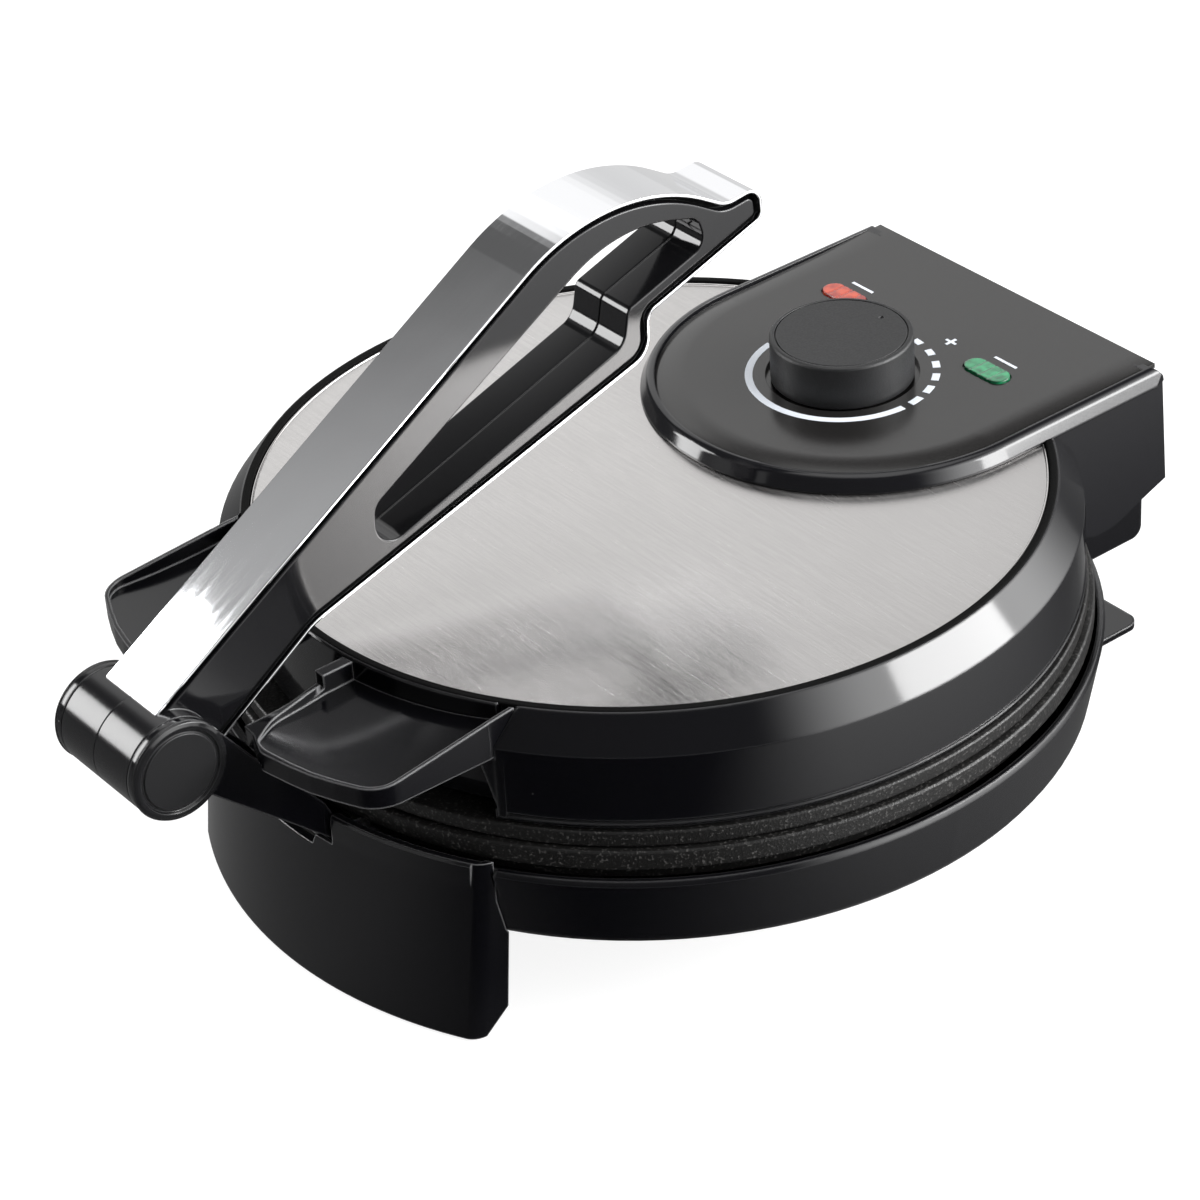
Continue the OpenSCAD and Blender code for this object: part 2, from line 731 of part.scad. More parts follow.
// Printed ring, dashes and small marks round the dial
module dial_print() {
    color("#dfe6ee") at_body() translate([0, dial_y, panel_z - 0.08]) {
        rotate([0, 0, 190]) rotate_extrude(angle = 168, $fn = 96)
            translate([mark_r - mark_w, 0]) square([mark_w, 0.25]);
        for (i = [0 : 5]) rotate([0, 0, 4 + i * 15.5]) rotate_extrude(angle = 9.5 - i * 0.6, $fn = 96)
            translate([mark_r - mark_w, 0]) square([mark_w, 0.25]);
        for (x = [red_x, green_x]) translate([x - 5, lens_y - dial_y + 7.6, 0]) cube([10, 1.1, 0.25]);
        translate([-38.5, 3, 0]) cube([4.6, 1, 0.25]);
        translate([8, 37.4, 0]) {
            cube([4.6, 1, 0.25]);
            translate([1.8, -1.8, 0]) cube([1, 4.6, 0.25]);
        }
    }
}

module lamp_holders() {
    color("#d8d4c8") at_body() for (x = [red_x, green_x]) translate([x, lens_y, 0]) difference() {
        union() {
            translate([-6, -7, 97]) cube([12, 14, 9]);
            translate([0, 0, 105.9]) cylinder(r = 2.6, h = 4, $fn = 32);
            for (y = [-7, 5.4]) translate([-3, y, 97]) cube([6, 1.6, panel_z - 98.8]);
        }
        translate([0, 0, 96]) cylinder(r = 1.6, h = 6, $fn = 24);
    }
}

module upper_plate() {
    color(textured) at_body() difference() {
        ring_sweep([
            [0, upper_z], [upper_plate_r - 0.6, upper_z], [upper_plate_r, upper_z + 0.6],
            [upper_plate_r, 73.8], [upper_plate_r - 0.5, 74.3], [126, 74.3], [125, 75.3], [0, 75.3]
        ]);
        at_posts() translate([0, 0, 71.4]) cylinder(r = pilot_r, h = 6, $fn = 24);
    }
}

module upper_element() {
    color(dull) at_body() element(75.3 + element_tube_r + 0.02, 1);
}

module upper_reflector() {
    color(dull) at_body() difference() {
        ring_sweep([
            [0, 93], [99, 93], [111, 80], [126, 80], [126, 80.8], [111.4, 80.8], [99.4, 93.8], [0, 93.8]
        ]);
        at_posts() translate([0, 0, 70]) cylinder(r = post_r + gap, h = 30, $fn = 32);
        for (s = [-1, 1]) rotate([0, 0, s * 14]) translate([element_r, 0, 85]) cylinder(r = 5, h = 12, $fn = 24);
        translate([0, dial_y, 85]) cylinder(r = 6, h = 12, $fn = 32);
        translate([-68.6, 92.6, 70]) cube([137.2, 50, 40]);
    }
}

module thermostat() {
    color("#d8d4c8") at_body() translate([0, dial_y, 0]) difference() {
        union() {
            translate([0, 0, 93.82]) cylinder(r = 14, h = 10, $fn = 48);
            translate([0, 0, 103.8]) cylinder(r = 5, h = 11, $fn = 40);
            translate([0, 0, 75.34]) cylinder(r = 2.6, h = 18.6, $fn = 32);
        }
        translate([0, 0, 98]) cylinder(r = 3 + run, h = 30, $fn = 40);
    }
}

module thermal_fuse() {
    color(steel) at_body() translate([-24, 40, 75.34]) {
        translate([-9, -3, 0]) cube([18, 6, 1]);
        translate([-7, 0, 3.4]) rotate([0, 90, 0]) cylinder(r = 2.5, h = 14, $fn = 24);
    }
}

// Two steel ears under the housing that turn on the hinge pin
module hinge_ears() {
    color(dull) at_body() difference() {
        union() {
            both_sides() {
                translate([0, hinge_y, hinge_z]) tube_x(ear_r, ear_x - ear_t / 2, ear_x + ear_t / 2);
                side_slab(ear_x - ear_t / 2, ear_x + ear_t / 2) polygon([
                    [hinge_y - ear_r, hinge_z], [hinge_y - ear_r, 74.6], [128, 80], [128, 96],
                    [152, 96], [hinge_y + ear_r, hinge_z]
                ]);
            }
            translate([-side_x + 2.6, 126, 96]) cube([2 * side_x - 5.2, 28, 2]);
        }
        translate([0, hinge_y, hinge_z]) tube_x(pin_r + run, -60, 60);
        both_sides() translate([56, 140, 90]) cylinder(r = screw_r, h = 12, $fn = 24);
    }
}

module lid_screws() {
    color(steel) at_body() {
        at_posts() translate([0, 0, 71.6]) cylinder(r = 1.25, h = 17, $fn = 24);
        both_sides() translate([56, 140, 95.98]) screw(12, 1.25);
    }
}

// Temperature knob

module knob() {
    color("#222325") at_body() translate([0, dial_y, panel_z]) difference() {
        rotate_extrude($fn = 96) polygon([
            [3.1, 2.2], [6, 2.2], [6, knob_h - 3], [knob_r - 2.2, knob_h - 3], [knob_r - 2.2, -0.5],
            [knob_r - 0.3, -0.5], [knob_r, -0.2], [knob_r, knob_h - 0.9], [knob_r - 0.3, knob_h - 0.3],
            [knob_r - 0.9, knob_h], [cap_groove_r, knob_h], [cap_groove_r, knob_h - 0.9], [3.1, knob_h - 0.9]
        ]);
    }
}

module knob_cap() {
    color("#26272a") at_body() translate([0, dial_y, panel_z + knob_h - 0.88]) difference() {
        cylinder(r = cap_groove_r - 0.5, h = 0.8, $fn = 96);
        rotate([0, 0, 5]) translate([3, 15.6, 0.4]) cylinder(r = 0.9, h = 2, $fn = 24);
    }
}

module thermostat_shaft() {
    color(steel) at_body() translate([0, dial_y, 98.4]) cylinder(r = 3, h = panel_z + knob_h - 99.4, $fn = 40);
}

// Link arm

// Side outline of the cheek in (y, z), from the pivot up to the barrel
cheek_corners = [
    [link_y - 2.6, link_z - 2.8, 0], [-158.1, 67.6, 0], [-186, 93.4, 0], [-187, 110, 0],
    [-178, 112, 6], [-160.5, 88, 20], [-143.5, 67, 8], [-140.4, 60, 0], [link_y + 2.7, link_z + 2.9, 0]
];

module link_arm() {
    color(black) at_body() difference() {
        union() {
            both_sides() {
                side_slab(cheek_x0, cheek_x1) polygon(rounded([for (i = [len(cheek_corners) - 1 : -1 : 0]) cheek_corners[i]]));
                translate([0, -barrel_y, barrel_z]) tube_x(barrel_r, cheek_x0, cheek_x1, 96);
            }
            translate([0, link_y, link_z]) tube_x(4.2, -cheek_x1, cheek_x1);
            // Web that joins the cheeks below the barrel
            side_slab(-cheek_x0 - 0.5, cheek_x0 + 0.5) polygon([
                [link_y - 2.6, link_z - 2.8], [link_y + 1, link_z + 1], [-143.6, 62], [-160, 77.4],
                [-171, 86], [-173.4, 81.2], [-158.1, 67.6]
            ]);
        }
        translate([0, link_y, link_z]) tube_x(link_pin_r + run, -30, 30);
        translate([0, -barrel_y, barrel_z]) tube_x(pin_r + 0.01, -30, 30);
    }
}

// Round caps that close both ends of the barrel
module end_caps() {
    color("#1d1e20") at_body() translate([0, -barrel_y, barrel_z]) both_sides() {
        translate([cheek_x1 + 0.02, 0, 0]) rotate([0, 90, 0]) rotate_extrude($fn = 96) polygon([
            [0, 0], [barrel_r, 0], [cap_r, 0.4], [barrel_r - 0.1, 1.1], [barrel_r - 1.2, 1.5],
            [13.6, 1.4], [13.1, 0.6], [12.4, 0.6], [12, 1.2], [0, 1.2]
        ]);
    }
}

module lever_pin() {
    color(steel) at_body() translate([0, -barrel_y, barrel_z]) tube_x(pin_r, -cheek_x1, cheek_x1);
}

// Lever

module at_barrel() { translate([0, body_y - barrel_y, barrel_z]) children(); }

module lever_frame() {
    color(chrome) at_barrel() difference() {
        side_slab(-lever_x, lever_x) difference() {
            polygon(rounded(lever_corners));
            polygon(rounded(inset(lever_corners, chrome_t)));
            circle(r = barrel_r + 0.3, $fn = 96);
            polygon([[-30, -30], [30, -30], [21.5, 0.2], [12, 2], [-0.9, 13], [-30, 13]]);
        }
    }
}

// One half of the grip between x = 0 and its outer face, right-hand side
module grip_half() {
    difference() {
        union() {
            side_slab(0.02, lever_x - 1.8) difference() {
                polygon(rounded(inset(lever_corners, chrome_t + 0.02)));
                polygon(rounded(window_corners));
            }
            side_slab(lever_x - 2.4, lever_x - 0.5) difference() {
                polygon(rounded(inset(lever_corners, chrome_t + groove_w)));
                polygon(rounded(window_corners));
            }
            tube_x(barrel_r, 0.02, hub_x, 96);
        }
        // Hollow of the shell, with screw posts left standing
        side_slab(-1, lever_x - 2.8) difference() {
            polygon(rounded(inset(lever_corners, chrome_t + 3)));
            polygon(rounded(inset(window_corners, -2.2)));
            circle(r = barrel_r + 1.6, $fn = 48);
            for (p = lever_screw_at) translate(p) circle(r = 3.4, $fn = 32);
        }
        tube_x(pin_r + run, -1, hub_x + 1);
        for (p = lever_screw_at) translate([0, p.x, p.y]) tube_x(screw_r, -1, 9, 24);
    }
}

module right_grip() {
    color(black) at_barrel() grip_half();
}

module left_grip() {
    color(black) at_barrel() difference() {
        mirror([1, 0, 0]) grip_half();
        for (p = lever_screw_at) translate([0, p.x, p.y]) {
            tube_x(screw_r, -20, 0, 24);
            tube_x(3.1, -20, -lever_x + 2.4, 32);
        }
    }
}

module lever_screws() {
    color(steel) at_barrel() for (p = lever_screw_at) translate([-lever_x + 2.38, p.x, p.y])
        rotate([0, 90, 0]) screw(19, head = 2.9);
}

base_shell();
bottom_cover();
leg_shield();
hinge_block();
rear_foot();
rubber_feet();
lower_plate();
lower_element();
lower_reflector();
link_bracket();
link_pin();
hinge_pin();
terminal_block();
cord_gland();
base_screws();
plate_screws();
lid_shell();
lid_wings();
steel_disc();
control_housing();
control_panel();
dial_print();
red_lens();
green_lens();
lamp_holders();
upper_plate();
upper_element();
upper_reflector();
thermostat();
thermal_fuse();
hinge_ears();
lid_screws();
knob();
knob_cap();
thermostat_shaft();
link_arm();
end_caps();
lever_pin();
lever_frame();
left_grip();
right_grip();
lever_screws();
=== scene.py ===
"""Dresses the electric roti maker: finishes, lever, panel, trim round the disc, studio and camera."""
import logging
import math
from dataclasses import dataclass, field
from enum import Enum
from typing import Callable, Dict, List, Optional, Sequence, Tuple

import bmesh
import bpy
from bpy.types import Material, Mesh, Node, NodeSocket, NodeTree, Object
from mathutils import Matrix, Vector


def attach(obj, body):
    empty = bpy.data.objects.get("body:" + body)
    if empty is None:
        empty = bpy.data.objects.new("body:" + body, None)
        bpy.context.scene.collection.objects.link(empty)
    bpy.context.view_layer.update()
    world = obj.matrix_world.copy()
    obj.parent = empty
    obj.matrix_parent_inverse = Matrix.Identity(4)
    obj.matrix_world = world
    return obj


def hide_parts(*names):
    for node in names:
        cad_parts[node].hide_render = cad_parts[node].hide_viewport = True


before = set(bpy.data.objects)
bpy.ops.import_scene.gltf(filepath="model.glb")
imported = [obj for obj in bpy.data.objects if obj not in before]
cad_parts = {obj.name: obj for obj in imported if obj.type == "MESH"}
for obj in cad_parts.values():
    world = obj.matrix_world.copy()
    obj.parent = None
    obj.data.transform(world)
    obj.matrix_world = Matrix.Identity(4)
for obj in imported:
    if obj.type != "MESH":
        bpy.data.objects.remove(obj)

LOG = logging.getLogger("roti_maker")
MM = 0.001
Colour = Tuple[float, float, float]
Point = Tuple[float, float]
Corner = Tuple[float, float, float]


class Body(Enum):
    """Rigid bodies that new pieces ride on."""

    LID = "lid"
    LEVER = "lever"


class Slot(Enum):
    """Names of material slots, passed to place with each new piece."""

    GLOSS_BLACK = "gloss_black"
    DISC = "brushed_disc"
    PANEL = "panel_satin"
    CHROME = "chrome"


class Wires:
    """Adds and links nodes in one node tree."""

    COLUMN_GAP = 190
    ROW_GAP = 160
    ROWS = 4

    def __init__(self, tree: NodeTree) -> None:
        """Keeps the tree that the nodes go into."""
        self.tree = tree
        self.column = 0

    def add(self, kind: str, settings: Optional[Dict[str, object]] = None, **inputs: object) -> Node:
        """Adds one node.

        Args:
            kind: the node's Blender type name without its "ShaderNode" start.
            settings: properties of the node.
            inputs: socket values or sockets to link, with "_" for a space in the name
                or named i0, i1 and so on for their place.

        Returns:
            The new node.
        """
        node = self.tree.nodes.new("ShaderNode" + kind)
        self.column += 1
        node.location = (self.column * self.COLUMN_GAP, -(self.column % self.ROWS) * self.ROW_GAP)
        for name, value in (settings or {}).items():
            setattr(node, name, value)
        for name, value in inputs.items():
            numbered = name[0] == "i" and name[1:].isdigit()
            self.put(node, int(name[1:]) if numbered else name.replace("_", " "), value)
        return node

    def put(self, node: Node, name: object, value: object) -> None:
        """Sets or links one input socket of a node.

        Args:
            node: the node.
            name: name or place of its input.
            value: a socket to link, or the value to set.
        """
        socket = node.inputs[name]
        if isinstance(value, NodeSocket):
            self.tree.links.new(value, socket)
        elif isinstance(value, tuple) and len(value) == 3 and socket.type == "RGBA":
            socket.default_value = (*value, 1.0)
        else:
            socket.default_value = value

    def maths(self, operation: str, a: object, b: object = 0.0, c: object = 0.0) -> NodeSocket:
        """Result of one Math node."""
        return self.add("Math", {"operation": operation}, i0=a, i1=b, i2=c).outputs[0]

    def times(self, a: object, b: object) -> NodeSocket:
        """Product of two numbers."""
        return self.maths("MULTIPLY", a, b)

    def blend(self, factor: object, a: object, b: object) -> NodeSocket:
        """Colour between a and b.

        Args:
            factor: share of b.
            a: first colour.
            b: second colour.

        Returns:
            The colour's socket.
        """
        node = self.tree.nodes.new("ShaderNodeMix")
        node.data_type = "RGBA"
        self.put(node, 0, factor)
        self.put(node, 6, a)
        self.put(node, 7, b)
        return node.outputs[2]

    def ramp(self, value: object, low: object, high: object, to_low: float, to_high: float) -> NodeSocket:
        """Smooth step of a value from one span to another."""
        smooth = {"interpolation_type": "SMOOTHSTEP"}
        return self.add("MapRange", smooth, i0=value, i1=low, i2=high, i3=to_low, i4=to_high).outputs[0]

    def vector(self, operation: str, a: object, b: object = (0.0, 0.0, 0.0)) -> NodeSocket:
        """Vector result of one Vector Math node."""
        return self.add("VectorMath", {"operation": operation}, i0=a, i1=b).outputs[0]

    def turned(self, way: object) -> NodeSocket:
        """A vector of the object's own axes, in those of the world."""
        spaces = {"vector_type": "VECTOR", "convert_from": "OBJECT", "convert_to": "WORLD"}
        return self.add("VectorTransform", spaces, Vector=way).outputs[0]


class GroupWires(Wires):
    """Wires of a node group, with its inputs and outputs at hand."""

    def __init__(self, tree: NodeTree) -> None:
        """Adds the group's input and output nodes."""
        super().__init__(tree)
        self.start, self.end = tree.nodes.new("NodeGroupInput"), tree.nodes.new("NodeGroupOutput")

    def given(self, name: str) -> NodeSocket:
        """One of the group's inputs."""
        return self.start.outputs[name]

    def give(self, name: str, value: NodeSocket) -> None:
        """Links a value to one of the group's outputs."""
        self.tree.links.new(value, self.end.inputs[name])


Filler = Callable[[GroupWires], None]


class Effects:
    """Node groups that several finishes share, each built once."""

    made: Dict[str, NodeTree] = {}

    @classmethod
    def group(cls, name: str, inputs: Dict[str, float], outputs: Dict[str, str], fill: Filler) -> NodeTree:
        """Builds a named node group the first time it is asked for.

        Args:
            name: the group's name.
            inputs: names and first values of its number inputs.
            outputs: names and socket kinds of its outputs.
            fill: adds the nodes between the group's input and output.

        Returns:
            The node group.
        """
        if name in cls.made:
            return cls.made[name]
        tree = bpy.data.node_groups.new(name, "ShaderNodeTree")
        for socket, value in inputs.items():
            made = tree.interface.new_socket(name=socket, in_out="INPUT", socket_type="NodeSocketFloat")
            made.default_value = value
        for socket, kind in outputs.items():
            tree.interface.new_socket(name=socket, in_out="OUTPUT", socket_type="NodeSocket" + kind)
        fill(GroupWires(tree))
        cls.made[name] = tree
        return tree

    @classmethod
    def moulded_skin(cls) -> NodeTree:
        """Slow waves and fine pimples of a moulded surface, as one height.

        Returns:
            The node group.
        """

        def fill(w: GroupWires) -> None:
            """Adds two layers of noise.

            Args:
                w: wires of the group.
            """
            where = w.add("TexCoord").outputs["Object"]
            slow = w.add("TexNoise", Vector=where, Scale=w.given("Wave scale"), Detail=1.0).outputs[0]
            fine = w.add("TexNoise", Vector=where, Scale=w.given("Grain scale"), Detail=2.0).outputs[0]
            waves = w.times(slow, w.given("Wave"))
            total = w.maths("ADD", waves, w.times(fine, w.given("Grain")))
            w.give("Height", total)
            w.give("Mottle", fine)

        inputs = {"Wave scale": 18.0, "Wave": 0.5, "Grain scale": 1500.0, "Grain": 0.1}
        return cls.group("moulded_skin", inputs, {"Height": "Float", "Mottle": "Float"}, fill)

    @classmethod
    def dust_specks(cls) -> NodeTree:
        """Sparse pale specks of dust.

        Returns:
            The node group.
        """

        def fill(w: GroupWires) -> None:
            """Keeps the centres of a few random cells.

            Args:
                w: wires of the group.
            """
            where = w.add("TexCoord").outputs["Object"]
            cells = w.add("TexVoronoi", Vector=where, Scale=w.given("Scale"))
            near = w.maths("LESS_THAN", cells.outputs["Distance"], w.given("Size"))
            chance = w.add("SeparateColor", Color=cells.outputs["Color"]).outputs[0]
            kept = w.maths("GREATER_THAN", chance, w.given("Thinning"))
            w.give("Mask", w.times(near, kept))

        inputs = {"Scale": 160.0, "Size": 0.05, "Thinning": 0.9}
        return cls.group("dust_specks", inputs, {"Mask": "Float"}, fill)

    @classmethod
    def edge_bevel_and_mask(cls) -> NodeTree:
        """Rounded shading along sharp edges, with a mask of where the edges are, which finishes use to
        paint a highlight along their edges.

        Returns:
            The node group.
        """

        def fill(w: GroupWires) -> None:
            """Compares the rounded normal with the plain one.

            Args:
                w: wires of the group.
            """
            soft = w.add("Bevel", {"samples": 6}, Radius=w.given("Radius")).outputs[0]
            plain = w.add("NewGeometry").outputs["Normal"]
            same = w.add("VectorMath", {"operation": "DOT_PRODUCT"}, i0=soft, i1=plain).outputs["Value"]
            w.give("Normal", soft)
            w.give("Edge", w.ramp(same, 0.99, 0.8, 0.0, 1.0))

        return cls.group("edge_bevel_and_mask", {"Radius": 0.0005}, {"Normal": "Vector", "Edge": "Float"}, fill)

    @classmethod
    def drawn_streaks(cls) -> NodeTree:
        """Fine streaks along the X direction, as left by brushing or drawing.

        Returns:
            The node group.
        """

        def fill(w: GroupWires) -> None:
            """Stretches noise into lines.

            Args:
                w: wires of the group.
            """
            parts = w.add("SeparateXYZ", Vector=w.add("TexCoord").outputs["Object"])
            place = w.add(
                "CombineXYZ",
                X=w.times(parts.outputs[0], w.given("Along")),
                Y=w.times(parts.outputs[1], w.given("Across")),
                Z=w.times(parts.outputs[2], w.given("Across")),
            ).outputs[0]
            lines = w.add("TexNoise", Vector=place, Scale=1.0, Detail=3.0).outputs[0]
            w.give("Streak", lines)

        return cls.group("drawn_streaks", {"Along": 60.0, "Across": 2600.0}, {"Streak": "Float"}, fill)

    @classmethod
    def studio_patch(cls) -> NodeTree:
        """Soft-edged patch of sky round a bearing and a height, both in degrees.

        Returns:
            The node group.
        """

        def fill(w: GroupWires) -> None:
            """Multiplies two soft steps.

            Args:
                w: wires of the group.
            """
            sides = []
            for name, half in (("Bearing", "Half width"), ("Height", "Half height")):
                middle = w.given(name + " of centre")
                if name == "Bearing":
                    middle = w.maths("MULTIPLY_ADD", w.given("Height"), w.given("Slant"), middle)
                away = w.maths("ABSOLUTE", w.maths("SUBTRACT", w.given(name), middle))
                inner = w.maths("SUBTRACT", w.given(half), w.given("Softness"))
                outer = w.maths("ADD", w.given(half), w.given("Softness"))
                sides.append(w.ramp(away, inner, outer, 1.0, 0.0))
            w.give("Mask", w.times(sides[0], sides[1]))

        names = {
            "Bearing": 0.0, "Height": 0.0, "Bearing of centre": 0.0, "Height of centre": 0.0,
            "Half width": 30.0, "Half height": 20.0, "Softness": 5.0, "Slant": 0.0,
        }
        return cls.group("studio_patch", names, {"Mask": "Float"}, fill)


@dataclass(frozen=True)
class Finish:
    """Common part of every finish: the scales of its uneven skin and the radius of its edges."""

    name: str
    wave: float = 0.5
    wave_scale: float = 18.0
    grain: float = 0.1
    grain_scale: float = 1500.0
    edge_radius: float = 0.0005

    def start(self) -> Tuple[Material, Wires, Node]:
        """Makes an empty material with a Principled BSDF.

        Returns:
            The material, its wires and its Principled BSDF.
        """
        material = bpy.data.materials.new(self.name)
        material.use_nodes = True
        wires = Wires(material.node_tree)
        return material, wires, material.node_tree.nodes["Principled BSDF"]

    @staticmethod
    def effect(wires: Wires, tree: NodeTree, **values: object) -> Node:
        """Places a shared effect in a material.

        Args:
            wires: wires of the material.
            tree: the effect's node group.
            values: values or sockets for its inputs, with "_" for a space in the name.

        Returns:
            The group's node.
        """
        node = wires.tree.nodes.new("ShaderNodeGroup")
        node.node_tree = tree
        for name, value in values.items():
            wires.put(node, name.replace("_", " "), value)
        return node

    def skin(self, wires: Wires) -> Node:
        """Uneven skin at the finish's own scales."""
        scales = {n.capitalize(): getattr(self, n) for n in ("wave", "wave_scale", "grain", "grain_scale")}
        return self.effect(wires, Effects.moulded_skin(), **scales)

    def edges(self, wires: Wires) -> Node:
        """Rounded edge shading and the edge mask at the finish's own radius."""
        return self.effect(wires, Effects.edge_bevel_and_mask(), Radius=self.edge_radius)

    @staticmethod
    def relief(
        wires: Wires, shader: Node, depth: float, height: object, normal: object, strength: float = 1.0
    ) -> None:
        """Gives a shader the relief of a height over a normal."""
        bump = wires.add("Bump", Strength=strength, Distance=depth, Height=height, Normal=normal)
        wires.put(shader, "Normal", bump.outputs[0])

    def build(self) -> Material:
        """Builds the material, which each finish does in its own way."""
        raise NotImplementedError


@dataclass(frozen=True)
class MouldedPlastic(Finish):
    """Black moulded plastic from mirror gloss to matte, with rounded edges painted paler as a highlight,
    and dust.
    """

    colour: Colour = (0.003, 0.003, 0.0039)
    rough: float = 0.09
    edge_radius: float = 0.0012
    grain: float = 0.05
    bump: float = 0.00002
    dust: float = 0.9
    # Colour painted along the edges: a painted highlight where it is paler than the face.
    painted_edge_tone: Colour = (0.045, 0.045, 0.047)
    ior: float = 1.5
    unevenness: float = 0.12
    dust_colour: Colour = (0.12, 0.12, 0.12)

    def build(self) -> Material:
        """Builds the material.

        Returns:
            The material.
        """
        material, w, shader = self.start()
        skin = self.skin(w)
        edges = self.edges(w)
        specks = self.effect(w, Effects.dust_specks(), Thinning=self.dust)
        # Painted highlight: the edge mask blends the face towards the paler edge colour.
        painted_edges = w.blend(edges.outputs["Edge"], self.colour, self.painted_edge_tone)
        w.put(shader, "Base Color", w.blend(specks.outputs["Mask"], painted_edges, self.dust_colour))
        low, high = self.rough * (1 - self.unevenness), self.rough * (1 + self.unevenness)
        w.put(shader, "Roughness", w.ramp(skin.outputs["Mottle"], 0.3, 0.7, low, high))
        self.relief(w, shader, self.bump, skin.outputs["Height"], edges.outputs["Normal"])
        w.put(shader, "IOR", self.ior)
        return material


@dataclass(frozen=True)
class BarrelPlastic(MouldedPlastic):
    """Black plastic whose gloss changes at a radius from the barrel's axis."""

    axis_y: float = -0.168825
    axis_z: float = 0.1023
    radius: float = 0.0162
    inner_rough: float = 0.17
    change: float = 0.0002

    def build(self) -> Material:
        """Builds the material with a second roughness inside the radius.

        Returns:
            The material.
        """
        material = super().build()
        w = Wires(material.node_tree)
        shader = material.node_tree.nodes["Principled BSDF"]
        parts = w.add("SeparateXYZ", Vector=w.add("TexCoord").outputs["Object"])
        dy = w.maths("SUBTRACT", parts.outputs[1], self.axis_y)
        dz = w.maths("SUBTRACT", parts.outputs[2], self.axis_z)
        away = w.maths("SQRT", w.maths("ADD", w.times(dy, dy), w.times(dz, dz)))
        streaks = self.effect(
            w, Effects.drawn_streaks(), Along=400.0, Across=900.0
        )
        rough = w.ramp(
            away, self.radius - self.change, self.radius + self.change, self.inner_rough, self.rough
        )
        uneven = w.ramp(streaks.outputs["Streak"], 0.2, 0.8, 0.94, 1.06)
        w.put(shader, "Roughness", w.times(rough, uneven))
        return material


@dataclass(frozen=True)
class Plating(Finish):
    """Bright chrome plating with the slight unevenness of a plated moulding, its edges painted paler as a
    highlight.
    """

    colour: Colour = (0.86, 0.865, 0.88)
    rough: float = 0.05
    ripple: float = 0.00004
    wave: float = 1.0
    wave_scale: float = 38.0
    grain_scale: float = 900.0
    grain: float = 0.02
    edge_radius: float = 0.0003
    # Colour painted along the edges as a highlight.
    painted_edge_tone: Colour = (0.95, 0.95, 0.96)

    def build(self) -> Material:
        """Builds the material.

        Returns:
            The material.
        """
        material, w, shader = self.start()
        skin = self.skin(w)
        streaks = self.effect(
            w, Effects.drawn_streaks(), Along=700.0, Across=40.0
        )
        edges = self.edges(w)
        # Painted highlight: edges take the paler edge colour.
        w.put(shader, "Base Color", w.blend(edges.outputs["Edge"], self.colour, self.painted_edge_tone))
        rough = w.ramp(streaks.outputs["Streak"], 0.3, 0.75, self.rough * 0.8, self.rough * 1.6)
        w.put(shader, "Roughness", rough)
        bump = w.add("Bump", Strength=1.0, Distance=self.ripple, Height=skin.outputs["Height"])
        w.put(shader, "Normal", bump.outputs[0])
        w.put(shader, "Metallic", 1.0)
        return material


@dataclass(frozen=True)
class BrushedSteel(Finish):
    """Steel brushed along X, with uneven streaks, a face that may lean outward like a flat dome, and edges
    painted paler as a highlight.
    """

    colour: Colour = (0.64, 0.625, 0.617)
    dark: Colour = (0.57, 0.557, 0.55)
    rough: float = 0.24
    anisotropic: float = 0.65
    along: float = 60.0
    across: float = 1500.0
    bump: float = 0.0000005
    dome: float = 0.0
    dome_y: float = 0.021575
    wave_scale: float = 45.0
    grain_scale: float = 700.0
    grain: float = 0.5
    streak_share: float = 0.6
    # Colour painted along the edges as a highlight.
    painted_edge_tone: Colour = (0.85, 0.85, 0.85)

    def build(self) -> Material:
        """Builds the material.

        Returns:
            The material.
        """
        material, w, shader = self.start()
        fine = self.effect(w, Effects.drawn_streaks(), Along=self.along, Across=self.across)
        broad = self.skin(w)
        edges = self.edges(w)
        streaked = w.times(fine.outputs["Streak"], self.streak_share)
        tone = w.maths("ADD", streaked, w.times(broad.outputs["Height"], 1 - self.streak_share))
        face = w.blend(w.ramp(tone, 0.35, 0.65, 0.0, 1.0), self.dark, self.colour)
        # Painted highlight: edges take the paler edge colour.
        w.put(shader, "Base Color", w.blend(edges.outputs["Edge"], face, self.painted_edge_tone))
        w.put(shader, "Roughness", w.ramp(tone, 0.3, 0.7, self.rough * 0.9, self.rough * 1.15))
        facing = edges.outputs["Normal"]
        if self.dome:
            away = w.vector("SUBTRACT", w.add("TexCoord").outputs["Object"], (0.0, self.dome_y, 0.0))
            lean = w.turned(w.vector("MULTIPLY", away, (self.dome, self.dome, 0.0)))
            facing = w.vector("NORMALIZE", w.vector("ADD", facing, lean))
        self.relief(w, shader, self.bump, fine.outputs["Streak"], facing)
        w.put(shader, "Tangent", w.turned((1.0, 0.0, 0.0)))
        w.put(shader, "Metallic", 1.0)
        w.put(shader, "Anisotropic", self.anisotropic)
        return material


